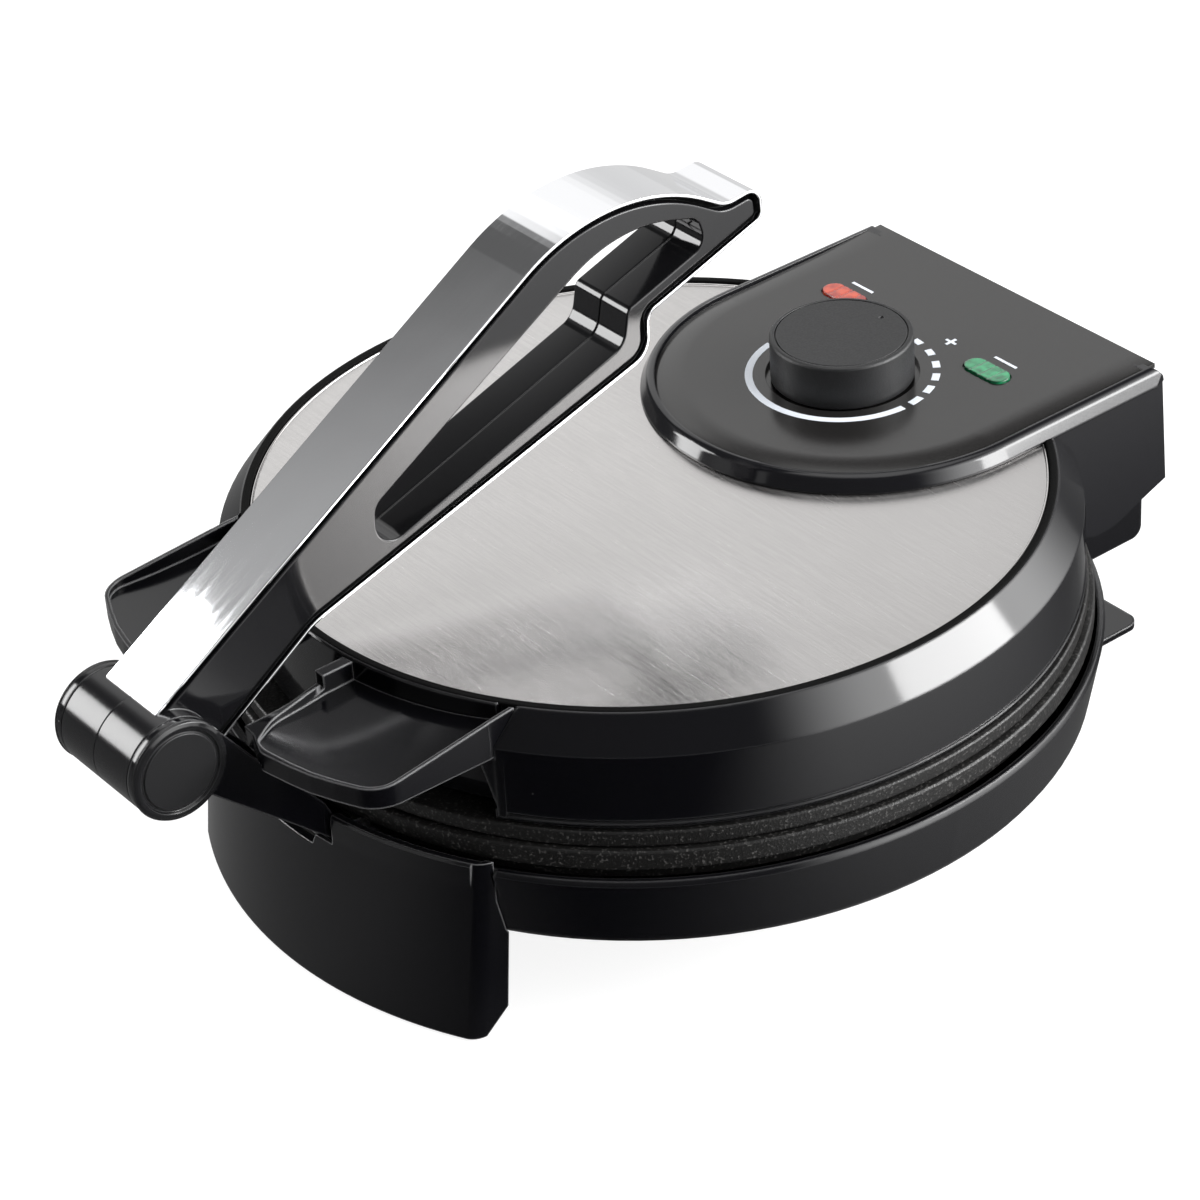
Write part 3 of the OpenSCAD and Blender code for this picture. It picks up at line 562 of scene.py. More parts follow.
@dataclass(frozen=True)
class CastCoating(Finish):
    """Dark non-stick coating on cast metal, pebbled and with pale flecks."""

    colour: Colour = (0.009, 0.0088, 0.0086)
    light: Colour = (0.07, 0.068, 0.066)
    rough: float = 0.39
    ior: float = 1.4
    bump: float = 0.00025
    wave_scale: float = 260.0
    grain_scale: float = 1100.0
    grain: float = 0.9
    edge_radius: float = 0.0006
    strength: float = 0.8

    def build(self) -> Material:
        """Builds the material.

        Returns:
            The material.
        """
        material, w, shader = self.start()
        skin = self.skin(w)
        edges = self.edges(w)
        flecks = w.ramp(skin.outputs["Mottle"], 0.55, 0.75, 0.0, 1.0)
        w.put(shader, "Base Color", w.blend(flecks, self.colour, self.light))
        w.put(shader, "Roughness", w.ramp(skin.outputs["Mottle"], 0.3, 0.7, self.rough, self.rough * 0.75))
        self.relief(w, shader, self.bump, skin.outputs["Height"], edges.outputs["Normal"], self.strength)
        w.put(shader, "IOR", self.ior)
        return material


@dataclass(frozen=True)
class LampLens(Finish):
    """Clear tinted lens over a lamp, with a darker edge."""

    colour: Colour = (0.5, 0.06, 0.02)
    deep: Colour = (0.24, 0.012, 0.006)
    rough: float = 0.2
    wave: float = 1.0
    wave_scale: float = 300.0
    grain_scale: float = 1200.0
    edge_radius: float = 0.001
    bump: float = 0.00012

    def build(self) -> Material:
        """Builds the material.

        Returns:
            The material.
        """
        material, w, shader = self.start()
        skin = self.skin(w)
        edges = self.edges(w)
        face = w.blend(w.ramp(skin.outputs["Height"], 0.3, 0.75, 0.0, 1.0), self.deep, self.colour)
        w.put(shader, "Base Color", w.blend(edges.outputs["Edge"], face, self.deep))
        self.relief(w, shader, self.bump, skin.outputs["Height"], edges.outputs["Normal"])
        w.put(shader, "Roughness", self.rough)
        w.put(shader, "Coat Weight", 0.6)
        w.put(shader, "Coat Roughness", 0.05)
        return material


@dataclass(frozen=True)
class Outline:
    """Side outline of the lever in millimetres from the barrel's axis."""

    lever: Tuple[Corner, ...] = (
        (18.5, -3.8, 4), (55.5, 21.2, 25), (184.3, 60.3, 9), (184.6, 73.8, 4), (230.6, 89.6, 4.5),
        (229.9, 101.2, 5.5), (216.4, 99.6, 9), (174, 125.4, 65), (-1, 16.2, 1.2), (-1, 2, 0), (10, -6, 0),
    )
    window: Tuple[Corner, ...] = (
        (80, 33.8, 7), (174.8, 66.8, 7), (177, 77.9, 3), (208.2, 88.6, 5.5), (205.5, 98.4, 5),
        (175.7, 107.4, 48), (80.5, 50.6, 6),
    )

    @staticmethod
    def rounded(corners: Sequence[Corner], step: float = 2.5) -> List[Point]:
        """Outline through corners, each rounded by its own radius.

        Args:
            corners: (y, z, radius) of each corner, counter-clockwise.
            step: degrees between points on an arc.

        Returns:
            The outline's points.
        """
        points: List[Point] = []
        for i, (y, z, r) in enumerate(corners):
            here = Vector((y, z))
            if r <= 0:
                points.append((y, z))
                continue
            u = (Vector(corners[i - 1][:2]) - here).normalized()
            v = (Vector(corners[(i + 1) % len(corners)][:2]) - here).normalized()
            half = u.angle(v) / 2
            middle = here + (u + v).normalized() * (r / math.sin(half))
            p, q = here + u * (r / math.tan(half)), here + v * (r / math.tan(half))
            first = math.atan2(p.y - middle.y, p.x - middle.x)
            last = math.atan2(q.y - middle.y, q.x - middle.x)
            turn = (last - first + 3 * math.pi) % (2 * math.pi) - math.pi
            count = max(1, math.ceil(abs(math.degrees(turn)) / step))
            angles = [first + turn * k / count for k in range(count + 1)]
            points += [(middle.x + r * math.cos(a), middle.y + r * math.sin(a)) for a in angles]
        return points

    @staticmethod
    def dense(points: Sequence[Point], gap: float = 0.5) -> List[Point]:
        """The same outline with more points.

        Args:
            points: the outline.
            gap: largest distance between points in millimetres.

        Returns:
            The denser outline.
        """
        filled: List[Point] = []
        for (y0, z0), (y1, z1) in zip(points, [*points[1:], points[0]]):
            count = max(1, math.ceil(math.hypot(y1 - y0, z1 - z0) / gap))
            filled += [(y0 + (y1 - y0) * k / count, z0 + (z1 - z0) * k / count) for k in range(count)]
        return filled

    @staticmethod
    def inset(corners: Sequence[Corner], d: float) -> List[Corner]:
        """Corners moved inward.

        Args:
            corners: (y, z, radius) of each corner, counter-clockwise.
            d: how far each side moves in millimetres.

        Returns:
            The moved corners.
        """
        moved: List[Corner] = []
        for i, (y, z, r) in enumerate(corners):
            here = Vector((y, z))
            e0 = (here - Vector(corners[i - 1][:2])).normalized()
            e1 = (Vector(corners[(i + 1) % len(corners)][:2]) - here).normalized()
            n0, n1 = Vector((-e0.y, e0.x)), Vector((-e1.y, e1.x))
            p = here + (n0 + n1) * (d / (1 + n0.dot(n1)))
            convex = e0.x * e1.y - e0.y * e1.x > 0
            moved.append((p.x, p.y, 0 if r == 0 else max(0.3, r + (-d if convex else d))))
        return moved


class Maker:
    """Mesh and node helpers that every sub-assembly uses."""

    def __init__(self, finishes: Dict[str, Material]) -> None:
        """Keeps the finished materials by name."""
        self.finishes = finishes

    def dress(self, **finishes: str) -> None:
        """Gives CAD nodes their materials.

        Args:
            finishes: names of the finishes by name of the node.
        """
        for node, finish in finishes.items():
            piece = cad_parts[node]
            piece.data.materials.clear()
            piece.data.materials.append(self.finishes[finish])
            LOG.info("node %s finished as %s", node, finish)

    def place(self, piece: Object, body: Body, slot: Slot, *nodes: str) -> Object:
        """Makes a new piece ride on a body and stand for CAD nodes.

        Args:
            piece: the piece.
            body: body that it rides on.
            slot: not used.
            nodes: names of the nodes that it replaces.

        Returns:
            The piece.
        """
        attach(piece, body.value)
        if nodes:
            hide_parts(*nodes)
        LOG.info("piece %s rides on %s for %s", piece.name, body.value, ", ".join(nodes) or "itself")
        return piece

    @staticmethod
    def slab(loops: Sequence[Sequence[Point]], x0: float, x1: float, edge: float, origin: Point) -> Mesh:
        """Flat slab with rounded edges between two planes of X.

        Args:
            loops: outlines in millimetres from origin: the outer one and its holes.
            x0: lower X in millimetres.
            x1: upper X in millimetres.
            edge: radius of the rounded edges in millimetres.
            origin: (y, z) of the outlines' zero in millimetres.

        Returns:
            The mesh.
        """
        curve = bpy.data.curves.new("slab", "CURVE")
        curve.dimensions = "2D"
        curve.fill_mode = "BOTH"
        curve.extrude = (x1 - x0) / 2 * MM - edge * MM
        curve.bevel_depth = edge * MM
        curve.bevel_resolution = 2
        curve.offset = -edge * MM
        for loop in loops:
            spline = curve.splines.new("POLY")
            spline.points.add(len(loop) - 1)
            for point, (y, z) in zip(spline.points, loop):
                point.co = (y * MM, z * MM, 0.0, 1.0)
            spline.use_cyclic_u = True
        helper = bpy.data.objects.new("slab", curve)
        bpy.context.scene.collection.objects.link(helper)
        bpy.context.view_layer.update()
        mesh = Maker.evaluated(helper)
        bpy.data.objects.remove(helper)
        middle, a, b = (x0 + x1) / 2 * MM, origin[0] * MM, origin[1] * MM
        mesh.transform(Matrix(((0, 0, 1, middle), (1, 0, 0, a), (0, 1, 0, b), (0, 0, 0, 1))))
        return mesh

    @staticmethod
    def evaluated(piece: Object) -> Mesh:
        """New mesh of an object as it stands after its modifiers."""
        return bpy.data.meshes.new_from_object(piece.evaluated_get(bpy.context.evaluated_depsgraph_get()))

    @staticmethod
    def finished(form: bmesh.types.BMesh, name: str) -> Mesh:
        """Turns a form into a mesh and frees it.

        Args:
            form: the form.
            name: the mesh's name.

        Returns:
            The mesh.
        """
        mesh = bpy.data.meshes.new(name)
        form.to_mesh(mesh)
        form.free()
        return mesh

    @staticmethod
    def lathe_x(section: Sequence[Point], origin: Point, steps: int = 128) -> Mesh:
        """Solid of revolution about an axis along X.

        Args:
            section: (x, radius) points in millimetres from one end on the axis to the other.
            origin: (y, z) of the axis in millimetres.
            steps: number of sides.

        Returns:
            The mesh.
        """
        form = bmesh.new()
        rings = []
        for x, r in section:
            if r <= 0:
                rings.append([form.verts.new((x * MM, origin[0] * MM, origin[1] * MM))])
                continue
            ring = []
            for k in range(steps):
                a = 2 * math.pi * k / steps
                y, z = origin[0] + r * math.cos(a), origin[1] + r * math.sin(a)
                ring.append(form.verts.new((x * MM, y * MM, z * MM)))
            rings.append(ring)
        for one, two in zip(rings, rings[1:]):
            for k in range(steps):
                n = (k + 1) % steps
                corners = [one[k % len(one)], one[n % len(one)], two[n % len(two)], two[k % len(two)]]
                form.faces.new(list(dict.fromkeys(corners)))
        bmesh.ops.recalc_face_normals(form, faces=form.faces)
        return Maker.finished(form, "lathe")

    @staticmethod
    def capped(walls: Sequence[Sequence[Sequence[Corner]]]) -> Mesh:
        """Solid whose walls run through closed loops, with covers over their first and last loops.

        Args:
            walls: loops of (x, y, z) in millimetres of each wall, the outer one and those of the holes.

        Returns:
            The mesh.
        """
        form = bmesh.new()
        ends: List[List[bmesh.types.BMVert]] = []
        for loops in walls:
            rows = [[form.verts.new((x * MM, y * MM, z * MM)) for x, y, z in loop] for loop in loops]
            for one, two in zip(rows, rows[1:]):
                for k in range(len(one)):
                    n = (k + 1) % len(one)
                    form.faces.new((one[k], one[n], two[n], two[k]))
            ends += [rows[0], rows[-1]]
        for side in (0, 1):
            edges = [form.edges.get((row[k - 1], row[k])) for row in ends[side::2] for k in range(len(row))]
            bmesh.ops.triangle_fill(form, use_beauty=True, edges=edges)
        bmesh.ops.recalc_face_normals(form, faces=form.faces)
        return Maker.finished(form, "capped")

    def wrap(self, name: str, parts: Sequence[Tuple[Mesh, str]], sharp: float = 32.0) -> Object:
        """One object made of several meshes, shaded so that its flat faces stay flat.

        Args:
            name: the object's name.
            parts: meshes with the names of their finishes.
            sharp: angle in degrees from which an edge stays sharp.

        Returns:
            The object.
        """
        form = bmesh.new()
        finishes = list(dict.fromkeys(finish for _, finish in parts))
        for part, finish in parts:
            first = len(form.faces)
            form.from_mesh(part)
            form.faces.ensure_lookup_table()
            for face in form.faces[first:]:
                face.material_index = finishes.index(finish)
                face.smooth = True
            bpy.data.meshes.remove(part)
        mesh = Maker.finished(form, name)
        for finish in finishes:
            mesh.materials.append(self.finishes[finish])
        mesh.set_sharp_from_angle(angle=math.radians(sharp))
        piece = bpy.data.objects.new(name, mesh)
        bpy.context.scene.collection.objects.link(piece)
        even = piece.modifiers.new("even_shading", "WEIGHTED_NORMAL")
        even.keep_sharp = True
        bpy.context.view_layer.update()
        piece.data = Maker.evaluated(piece)
        piece.modifiers.clear()
        return piece


@dataclass
class Lever:
    """Chrome band, two black handle halves and the barrel that they form."""

    maker: Maker
    outline: Outline = field(default_factory=Outline)
    half_width: float = 13.4
    chrome_t: float = 1.05
    groove_w: float = 1.9
    groove_d: float = 3.6
    barrel_r: float = 15.8
    hub_x: float = 17.6
    barrel: Point = (-168.825, 102.3)
    barrel_overlap: float = 0.6
    foot: Tuple[Point, ...] = ((19, 0.5), (12, 2))
    parting: float = 0.03
    fit: float = 0.05
    chrome_edge: float = 0.35
    ring_edge: float = 0.2
    plate_edge: float = 0.5

    def band_loop(self) -> List[Point]:
        """Outline of the chrome band, open where it runs into the barrel.

        Returns:
            The outline's points.
        """
        reach = self.barrel_r - self.barrel_overlap

        def outside(points: Sequence[Point]) -> List[Point]:
            """Run of an outline that lies clear of the barrel, from the underside to the foot.

            Args:
                points: the outline.

            Returns:
                The run's points.
            """
            around = Outline.dense(points)
            inside = [
                math.hypot(y, z) < reach or any(y < a and z < b for a, b in self.foot) for y, z in around
            ]
            first = next(i for i, hidden in enumerate(inside) if not hidden and inside[i - 1])
            run = around[first:] + around[:first]
            return run[:next(i for i in range(len(run)) if inside[(first + i) % len(run)])]

        outer = outside(Outline.rounded(self.outline.lever))
        inner = outside(Outline.rounded(Outline.inset(self.outline.lever, self.chrome_t)))
        return outer + inner[::-1]

    def band(self) -> None:
        """Builds the chrome band."""
        strip = Maker.slab(
            [self.band_loop()], -self.half_width, self.half_width, self.chrome_edge, self.barrel
        )
        band = self.maker.wrap("lever_band", [(strip, "chrome")])
        self.maker.place(band, Body.LEVER, Slot.CHROME, "lever_frame")

    def half(self, side: int) -> Object:
        """One half of the handle.

        Args:
            side: 1 for the right half and -1 for the left one.

        Returns:
            The half with its part of the barrel.
        """
        window = Outline.rounded(self.outline.window)[::-1]
        ring = Outline.rounded(Outline.inset(self.outline.lever, self.chrome_t + self.fit))
        plate = Outline.rounded(Outline.inset(self.outline.lever, self.chrome_t + self.groove_w))

        def across(a: float, b: float) -> Tuple[float, float]:
            """Two planes of X put in order for this side."""
            return (a, b) if side > 0 else (-b, -a)

        r = self.barrel_r
        barrel = [
            (self.parting, 0), (self.parting, r - 0.25), (0.12, r - 0.08), (0.3, r),
            (self.hub_x - 0.12, r), (self.hub_x, r - 0.12), (self.hub_x, 0),
        ]
        ring_span = across(self.parting, self.half_width - self.groove_d)
        plate_span = across(self.parting, self.half_width - self.plate_edge)
        parts = [
            # Groove ring between band and plate in matte near-black, painted shade in the recess.
            (Maker.slab([ring, plate[::-1]], *ring_span, self.ring_edge, self.barrel), "painted_shade_black"),
            (Maker.slab([plate, window], *plate_span, self.plate_edge, self.barrel), "handle_black"),
            (Maker.lathe_x([(side * x, radius) for x, radius in barrel], self.barrel), "handle_black"),
        ]
        return self.maker.wrap("right_handle" if side > 0 else "left_handle", parts)

    def build(self) -> None:
        """Builds and places every part of the lever."""
        self.band()
        self.maker.place(self.half(1), Body.LEVER, Slot.GLOSS_BLACK, "right_grip")
        self.maker.place(self.half(-1), Body.LEVER, Slot.GLOSS_BLACK, "left_grip")
        self.maker.dress(lever_screws="inner_steel")


@dataclass
class Link:
    """Arm that carries the lever's barrel, with its end caps and pin."""

    maker: Maker

    def build(self) -> None:
        """Dresses the arm's nodes."""
        self.maker.dress(link_arm="gloss_black", end_caps="cap_black", lever_pin="inner_steel")


@dataclass
class Lid:
    """Lid shell, steel disc, control housing, lamps and upper plate."""

    maker: Maker

    def build(self) -> None:
        """Dresses the lid's nodes."""
        self.maker.dress(
            lid_shell="gloss_black", lid_wings="wing_black", steel_disc="brushed_disc",
            control_housing="housing_black", dial_print="white_print", red_lens="red_lens",
            green_lens="green_lens", lamp_holders="ceramic", upper_plate="plate_coating",
            upper_element="inner_steel", upper_reflector="inner_steel", thermostat="ceramic",
            thermal_fuse="inner_steel", hinge_ears="inner_steel", lid_screws="inner_steel",
        )


@dataclass
class Panel:
    """Satin cover of the control housing, which falls away along its D-shaped front."""

    maker: Maker
    centre_y: float = 109.575
    radius: float = 66.0
    rear_y: float = 178.2
    ledge_y: float = 172.3
    side_y: float = 150.0
    top: float = 115.06
    low: float = 113.22
    side_fall: float = 0.65
    fall: Tuple[Point, ...] = (
        (10, 0), (8.5, 0.07), (6.5, 0.25), (4.5, 0.54), (2.5, 0.92), (1.2, 1.22), (0.5, 1.42), (0, 1.6),
    )
    dial_y: float = 102.875
    well: Tuple[Point, ...] = (
        (25, 115.06), (25, 113.4), (5.3, 113.4), (5.3, 112.1), (26.3, 112.1), (26.3, 113.22),
    )
    lamps: Tuple[Point, ...] = ((-36.9, 136.175), (32.4, 136.175))
    lamp_reach: float = 5.05
    lamp_r: float = 4.4
    front_points: int = 73
    lamp_points: int = 20

    def outline(self, d: float, rear: float, z: float, rear_z: float) -> List[Corner]:
        """The D outline.

        Args:
            d: how far the front and the sides lie inward of the border.
            rear: y of the rear side.
            z: height in front.
            rear_z: height at the rear.

        Returns:
            The outline's points.
        """
        r = self.radius - d
        side_z = self.side_fall * z + (1 - self.side_fall) * rear_z
        sides = [(r, self.side_y, side_z), (r, rear, rear_z), (-r, rear, rear_z), (-r, self.side_y, side_z)]
        return [*sides, *self.arc(0.0, self.centre_y, r, z, 180, 180, self.front_points)]

    @staticmethod
    def arc(
        x: float, y: float, r: float, z: float, first: float = 0, sweep: float = 360, count: int = 96
    ) -> List[Corner]:
        """Points on a level arc, or on a full circle without its last point.

        Args:
            x: x of the centre.
            y: y of the centre.
            r: radius.
            z: height.
            first: angle of the first point in degrees.
            sweep: angle from the first to the last point.
            count: number of points.

        Returns:
            The points.
        """
        gaps = count if sweep == 360 else count - 1
        turns = [math.radians(first + sweep * k / gaps) for k in range(count)]
        return [(x + r * math.cos(a), y + r * math.sin(a), z) for a in turns]

    def lamp_hole(self, x: float, y: float, z: float) -> List[Corner]:
        """Obround outline of the hole for a lens."""
        right = self.arc(x + self.lamp_reach, y, self.lamp_r, z, -90, 180, self.lamp_points)
        return right + self.arc(x - self.lamp_reach, y, self.lamp_r, z, 90, 180, self.lamp_points)

    def build(self) -> None:
        """Builds the cover with its well and the holes for the lenses."""
        border = [self.outline(d, self.rear_y, self.top - down, self.top) for d, down in self.fall]
        edge = self.top - self.fall[-1][1]
        under = ((self.rear_y, edge), (self.ledge_y, edge), (self.ledge_y, self.low))
        border += [self.outline(0.0, rear, z, z) for rear, z in under]
        holes = [[self.arc(0.0, self.dial_y, r, z) for r, z in self.well]]
        holes += [[self.lamp_hole(x, y, z) for z in (self.top, self.low)] for x, y in self.lamps]
        cover = self.maker.wrap("panel_cover", [(Maker.capped([border, *holes]), "panel_satin")])
        self.maker.place(cover, Body.LID, Slot.PANEL, "control_panel")


@dataclass
class DiscEdge:
    """Rolled edge round the steel disc, a matte black ring beside it that paints the dark band there as
    shade, and the bead at the foot of the lid's band.
    """

    maker: Maker
    radius: float = 124.72
    height: float = 109.45
    centre_y: float = 21.575
    roll: float = 0.5
    sides: int = 14
    bead: Point = (136.4, 76.55)
    notch: float = 147.0
    # Section of the matte black ring that paints the dark band beside the disc as shade.
    shade_ring: Tuple[Point, ...] = (
        (125.35, 109.6), (127.75, 109.6), (127.75, 110.52), (127.4, 110.62), (125.7, 110.62),
        (125.35, 110.52),
    )
    first: float = 34.0
    steps: int = 240

    def rod(self, radius: float, height: float) -> List[Point]:
        """Round section at a radius and height."""
        turns = [2 * math.pi * k / self.sides for k in range(self.sides)]
        return [(radius + self.roll * math.cos(a), height + self.roll * math.sin(a)) for a in turns]

    def sweep(self, section: Sequence[Point], first: float, last: float) -> Mesh:
        """Bar bent round the disc's axis.

        Args:
            section: (radius, height) points of its section.
            first: bearing of its first end in degrees.
            last: bearing of its last end in degrees.

        Returns:
            The mesh.
        """
        turns = [math.radians(first + (last - first) * i / self.steps) for i in range(self.steps + 1)]
        loops = [[(r * math.sin(a), self.centre_y + r * math.cos(a), z) for r, z in section] for a in turns]
        return Maker.capped([loops])

    def build(self) -> None:
        """Builds the edge, the painted-shade ring and the bead at the foot of the lid's band."""
        round_arc = ((self.first, 360 - self.first),)
        beside_notch = ((self.first, self.notch), (360 - self.notch, 360 - self.first))
        rows = (
            ("disc_edge", self.rod(self.radius, self.height), round_arc, "edge_steel", Slot.DISC),
            ("disc_shade_ring", self.shade_ring, round_arc, "painted_shade_black", Slot.GLOSS_BLACK),
            ("band_bead", self.rod(*self.bead), beside_notch, "gloss_black", Slot.GLOSS_BLACK),
        )
        for name, section, arcs, finish, slot in rows:
            bars = [(self.sweep(section, *arc), finish) for arc in arcs]
            self.maker.place(self.maker.wrap(name, bars), Body.LID, slot)


@dataclass
class Dial:
    """Temperature knob with its cap and shaft."""

    maker: Maker

    def build(self) -> None:
        """Dresses the knob's nodes."""
        self.maker.dress(knob="knob_black", knob_cap="knob_black", thermostat_shaft="inner_steel")


@dataclass
class Base:
    """Bowl, leg shield, hinge block, feet and lower plate."""

    maker: Maker

    def build(self) -> None:
        """Dresses the base's nodes."""
        self.maker.dress(
            base_shell="gloss_black", bottom_cover="gloss_black", leg_shield="shield_black",
            hinge_block="gloss_black", rear_foot="gloss_black", rubber_feet="rubber",
            lower_plate="plate_coating", lower_element="inner_steel", lower_reflector="inner_steel",
            link_bracket="inner_steel", link_pin="inner_steel", hinge_pin="inner_steel",
            terminal_block="ceramic", cord_gland="rubber", base_screws="inner_steel",
            plate_screws="inner_steel",
        )


@dataclass(frozen=True)
class Softbox:
    """Rectangular lamp seen from a point of the object in a given direction."""

    name: str
    seen_from: Tuple[float, float, float]
    bearing: float
    height: float
    distance: float
    width: float
    tall: float
    level: float

    def build(self) -> None:
        """Adds the lamp. Its level is the brightness of its face."""
        b, h = math.radians(self.bearing), math.radians(self.height)
        way = Vector((math.sin(b) * math.cos(h), math.cos(b) * math.cos(h), math.sin(h)))
        light = bpy.data.lights.new(self.name, "AREA")
        light.shape = "RECTANGLE"
        light.size, light.size_y = self.width, self.tall
        light.energy = self.level * math.pi * self.width * self.tall
        lamp = bpy.data.objects.new(self.name, light)
        lamp.location = Vector(self.seen_from) + way * self.distance
        lamp.rotation_euler = way.to_track_quat("Z", "Y").to_euler()
        bpy.context.scene.collection.objects.link(lamp)
        LOG.info("lamp %s at %s", self.name, tuple(round(v, 2) for v in lamp.location))


@dataclass
class Studio:
    """Floor, sky and softboxes."""

    boxes: Tuple[Softbox, ...] = (
        Softbox("left_box", (0.0, -0.168, 0.115), -125, 23.4, 1.3, 0.5, 0.73, 12.0),
        Softbox("right_box", (0.12, 0.03, 0.105), 46, 24.5, 1.3, 0.74, 0.38, 13.5),
        Softbox("top_box", (0.0, 0.0, 0.1), -20, 80, 1.5, 1.3, 1.3, 1.0),
    )
    patches: Tuple[Tuple[float, ...], ...] = (
        (-57, 11, 25, 30, 3, -0.22, 1.0), (-40, 8, 12, 18, 6, 0, -0.4), (-74, 41.8, 10, 3, 2, 0, 0.85),
        (-119, 34, 10, 14, 5, 0, 0.33), (46, 22, 39, 22, 18, 0, 6.5),
        (-10, 8, 30, 26, 12, 0, 0.25), (-172, 17, 26, 14, 9, 0, 0.5), (0, 90, 400, 26, 8, 0, 0.6),
    )
    dimmest: float = 0.12
    least: float = 0.05
    glow: float = 0.86
    shade: float = 0.3
    paper: float = 0.7
    # Painted light of the floor in mirror rays: ramps by place that brighten it to the right, the rear and
    # the left.
    painted_light_right: Tuple[Tuple[float, ...], ...] = ((0.08, 0.45, 0.12, 2.0), (-0.12, 0.02, 0.0, 1.0))
    painted_light_left: Tuple[float, ...] = (0.12, 0.0, 0.0, 0.22)
    painted_light_rear: Tuple[Tuple[float, ...], ...] = ((0.0, -0.4, 0.0, 0.7), (0.0, 0.4, 0.0, 1.0))

    def sky(self) -> None:
        """Builds the world: white to the camera, a studio to everything else."""
        world = bpy.data.worlds.new("studio_sky")
        bpy.context.scene.world = world
        world.use_nodes = True
        w = Wires(world.node_tree)
        base = world.node_tree.nodes["Background"]
        parts = w.add("SeparateXYZ", Vector=w.add("TexCoord").outputs["Generated"])
        bearing = w.maths("DEGREES", w.maths("ARCTAN2", parts.outputs[0], parts.outputs[1]))
        height = w.maths("DEGREES", w.maths("ARCSINE", parts.outputs[2]))
        names = ("Bearing_of_centre", "Height_of_centre", "Half_width", "Half_height", "Softness", "Slant")
        total: object = self.dimmest
        for *shape, level in self.patches:
            place = dict(zip(names, map(float, shape)))
            patch = Finish.effect(w, Effects.studio_patch(), Bearing=bearing, Height=height, **place)
            total = w.maths("ADD", w.times(patch.outputs[0], level), total)
        total = w.maths("MAXIMUM", total, self.least)
        seen = w.add("LightPath").outputs["Is Camera Ray"]
        unseen = w.times(total, w.maths("SUBTRACT", 1.0, seen))
        w.put(base, "Strength", w.maths("ADD", unseen, seen))
        w.put(base, "Color", (1.0, 1.0, 1.0))

    def floor(self) -> None:
        """Builds the floor: white to the camera, a painted light brighter to the right, the rear and the
        left where it is mirrored, pale paper to other rays.
        """
        bpy.ops.mesh.primitive_circle_add(
            vertices=96, radius=4.0, fill_type="NGON", location=(0, 0, -0.0002)
        )
        floor = bpy.context.object
        floor.name = "floor"
        material = bpy.data.materials.new("floor_paper")
        material.use_nodes = True
        w = Wires(material.node_tree)
        out = material.node_tree.nodes["Material Output"]
        material.node_tree.nodes.remove(material.node_tree.nodes["Principled BSDF"])
        path = w.add("LightPath")
        parts = w.add("SeparateXYZ", Vector=w.add("TexCoord").outputs["Object"])
        x, y = parts.outputs[0], parts.outputs[1]
        # Painted light: mirror rays see the floor glow by place, standing for lamp light on it.
        right = w.times(w.ramp(x, *self.painted_light_right[0]), w.ramp(y, *self.painted_light_right[1]))
        rear = w.times(w.ramp(x, *self.painted_light_rear[0]), w.ramp(y, *self.painted_light_rear[1]))
        bright = w.maths("MAXIMUM", w.maths("MAXIMUM", right, w.ramp(x, *self.painted_light_left)), rear)
        painted_floor_glow = w.add("Emission", Strength=bright).outputs[0]
        paper = w.add("BsdfDiffuse", Color=(self.paper,) * 3).outputs[0]
        shade = w.add("BsdfDiffuse", Color=(self.shade,) * 3).outputs[0]
        lit = w.add("AddShader", i0=w.add("Emission", Strength=self.glow).outputs[0], i1=shade).outputs[0]
        other = w.add("MixShader", i0=path.outputs["Is Glossy Ray"], i1=paper, i2=painted_floor_glow).outputs[0]
        final = w.add("MixShader", i0=path.outputs["Is Camera Ray"], i1=other, i2=lit)
        w.put(out, "Surface", final.outputs[0])
        floor.data.materials.append(material)

    def build(self) -> None:
        """Builds the whole studio."""
        self.sky()
        self.floor()
        for box in self.boxes:
            box.build()


@dataclass(frozen=True)
class Eye:
    """Camera of the photograph."""

    bearing: float = 53.91
    height: float = 33.51
    distance: float = 1.223
    roll: float = -4.08
    target: Tuple[float, float, float] = (0.00578, -0.004525, 0.07844)
    lens: float = 116.97

    def build(self) -> None:
        """Adds the camera and makes it the scene's own."""
        a, e, r = math.radians(self.bearing), math.radians(self.height), math.radians(self.roll)
        back = Vector((math.sin(a) * math.cos(e), -math.cos(a) * math.cos(e), math.sin(e)))
        right = Vector((math.cos(a), math.sin(a), 0.0))
        up = back.cross(right)
        level, tall = right * math.cos(r) + up * math.sin(r), up * math.cos(r) - right * math.sin(r)
        data = bpy.data.cameras.new("eye")
        data.sensor_width = 36.0
        data.lens = self.lens
        camera = bpy.data.objects.new("eye", data)
        matrix = Matrix((level, tall, back)).transposed().to_4x4()
        matrix.translation = Vector(self.target) + back * self.distance
        camera.matrix_world = matrix
        bpy.context.scene.collection.objects.link(camera)
        bpy.context.scene.camera = camera
        LOG.info("camera at %s", tuple(round(v, 3) for v in matrix.translation))


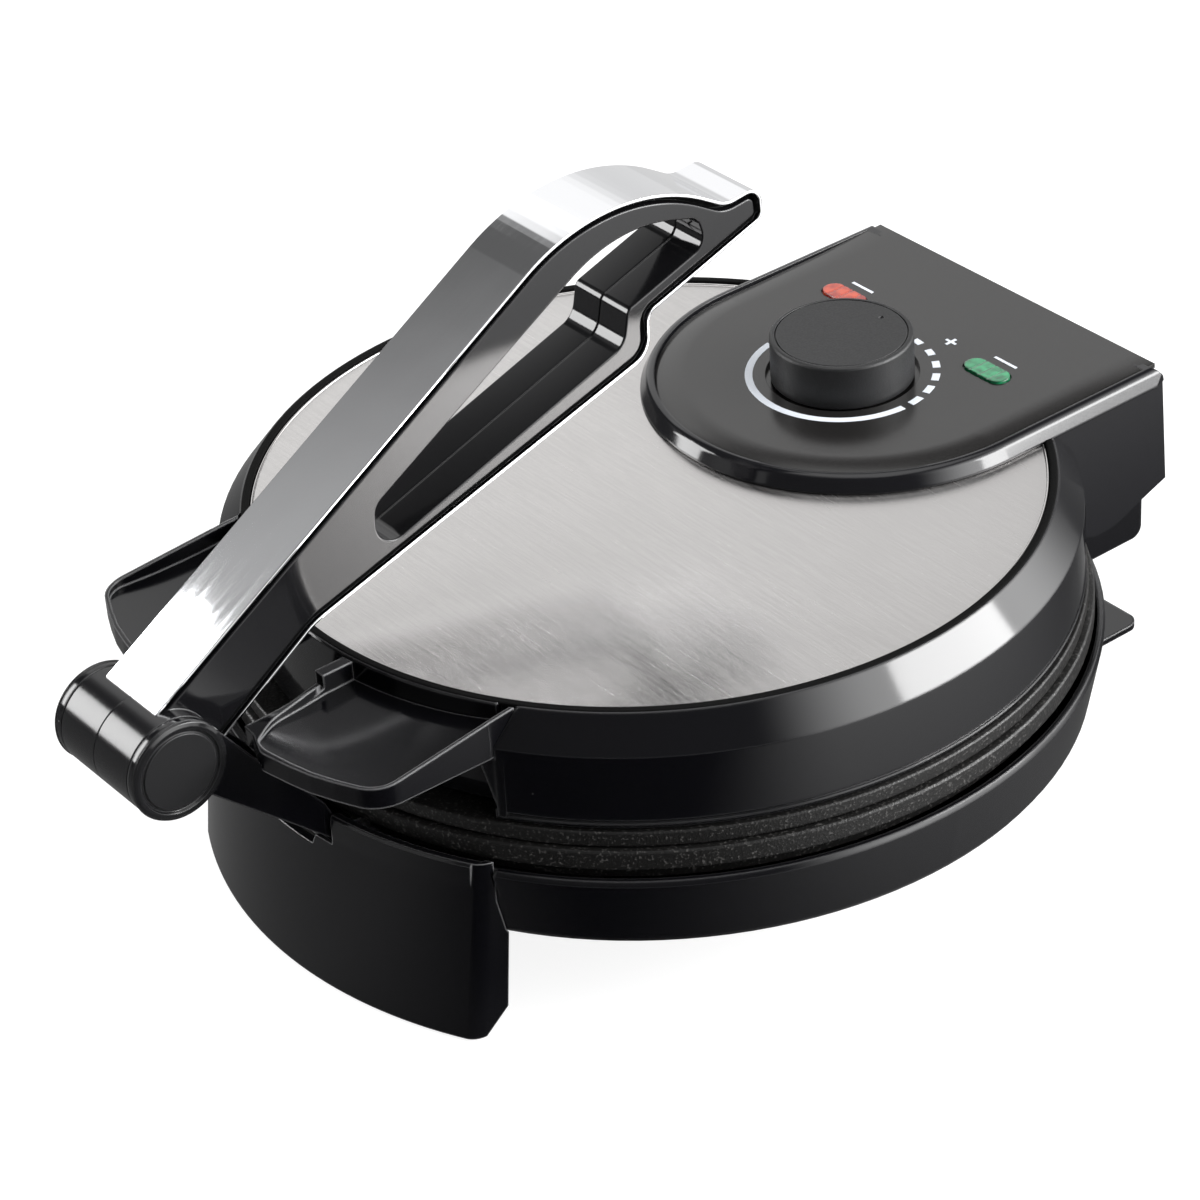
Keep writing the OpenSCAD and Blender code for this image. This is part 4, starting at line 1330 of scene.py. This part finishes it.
def finishes() -> Dict[str, Material]:
    """Builds every finish.

    Returns:
        The materials by name.
    """
    # painted_edge_tone paints each finish's edges: paler as a highlight on most, slightly darker as shade
    # on panel_satin, unchanged where it equals the face.
    made: Sequence[Finish] = (
        MouldedPlastic("gloss_black"),
        BarrelPlastic(
            "cap_black", colour=(0.0105, 0.0105, 0.0112), rough=0.1, radius=0.0128, inner_rough=0.36,
            edge_radius=0.0004
        ),
        # Wings and leg shield: a strong pale painted highlight along every edge.
        MouldedPlastic("wing_black", rough=0.14, ior=1.37, painted_edge_tone=(0.2, 0.2, 0.205)),
        MouldedPlastic("shield_black", edge_radius=0.0008, painted_edge_tone=(0.2, 0.2, 0.205)),
        BarrelPlastic("handle_black", colour=(0.006, 0.006, 0.0068), rough=0.09, edge_radius=0.0005),
        # Matte near-black that paints shade: in the lever's groove and on the ring beside the disc.
        MouldedPlastic(
            "painted_shade_black", colour=(0.002, 0.002, 0.002), rough=0.8, painted_edge_tone=(0.002, 0.002, 0.002),
            ior=1.2
        ),
        MouldedPlastic(
            "housing_black", colour=(0.0055, 0.0055, 0.0068), edge_radius=0.0006,
            painted_edge_tone=(0.012, 0.012, 0.013)
        ),
        MouldedPlastic(
            "panel_satin", colour=(0.0125, 0.0119, 0.0116), rough=0.2, edge_radius=0.0002, wave=0.1,
            grain=0.2, dust=0.97, painted_edge_tone=(0.01, 0.01, 0.01), ior=1.57
        ),
        MouldedPlastic(
            "knob_black", colour=(0.013, 0.0132, 0.014), rough=0.46, edge_radius=0.0005, wave=0.1,
            grain=1.0, dust=0.97, bump=0.00004
        ),
        MouldedPlastic(
            "white_print", colour=(0.7, 0.74, 0.8), rough=0.5, edge_radius=0.0001, dust=1.0,
            painted_edge_tone=(0.7, 0.74, 0.8)
        ),
        MouldedPlastic(
            "rubber", colour=(0.014, 0.014, 0.014), rough=0.7, grain=1.0, grain_scale=900.0, bump=0.00006
        ),
        MouldedPlastic(
            "ceramic", colour=(0.66, 0.62, 0.53), rough=0.5, grain=1.0, painted_edge_tone=(0.7, 0.66, 0.58)
        ),
        CastCoating("plate_coating"),
        BrushedSteel("brushed_disc", edge_radius=0.00015, dome=0.25),
        BrushedSteel("edge_steel", rough=0.12, anisotropic=0.0, edge_radius=0.00005),
        BrushedSteel(
            "inner_steel", colour=(0.5, 0.5, 0.51), dark=(0.38, 0.38, 0.39), rough=0.34, anisotropic=0.3,
            across=700.0
        ),
        Plating("chrome"),
        LampLens("red_lens"),
        LampLens("green_lens", colour=(0.02, 0.3, 0.12), deep=(0.004, 0.1, 0.04)),
    )
    return {finish.name: finish.build() for finish in made}


def main() -> None:
    """Builds the machine, the studio and the camera."""
    logging.basicConfig(level=logging.INFO)
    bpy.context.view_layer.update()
    bpy.context.scene.view_settings.view_transform = "Standard"
    maker = Maker(finishes())
    for assembly in (Base, Lid, Panel, DiscEdge, Dial, Link, Lever):
        assembly(maker).build()
    Studio().build()
    Eye().build()


if __name__ == "__main__":
    main()
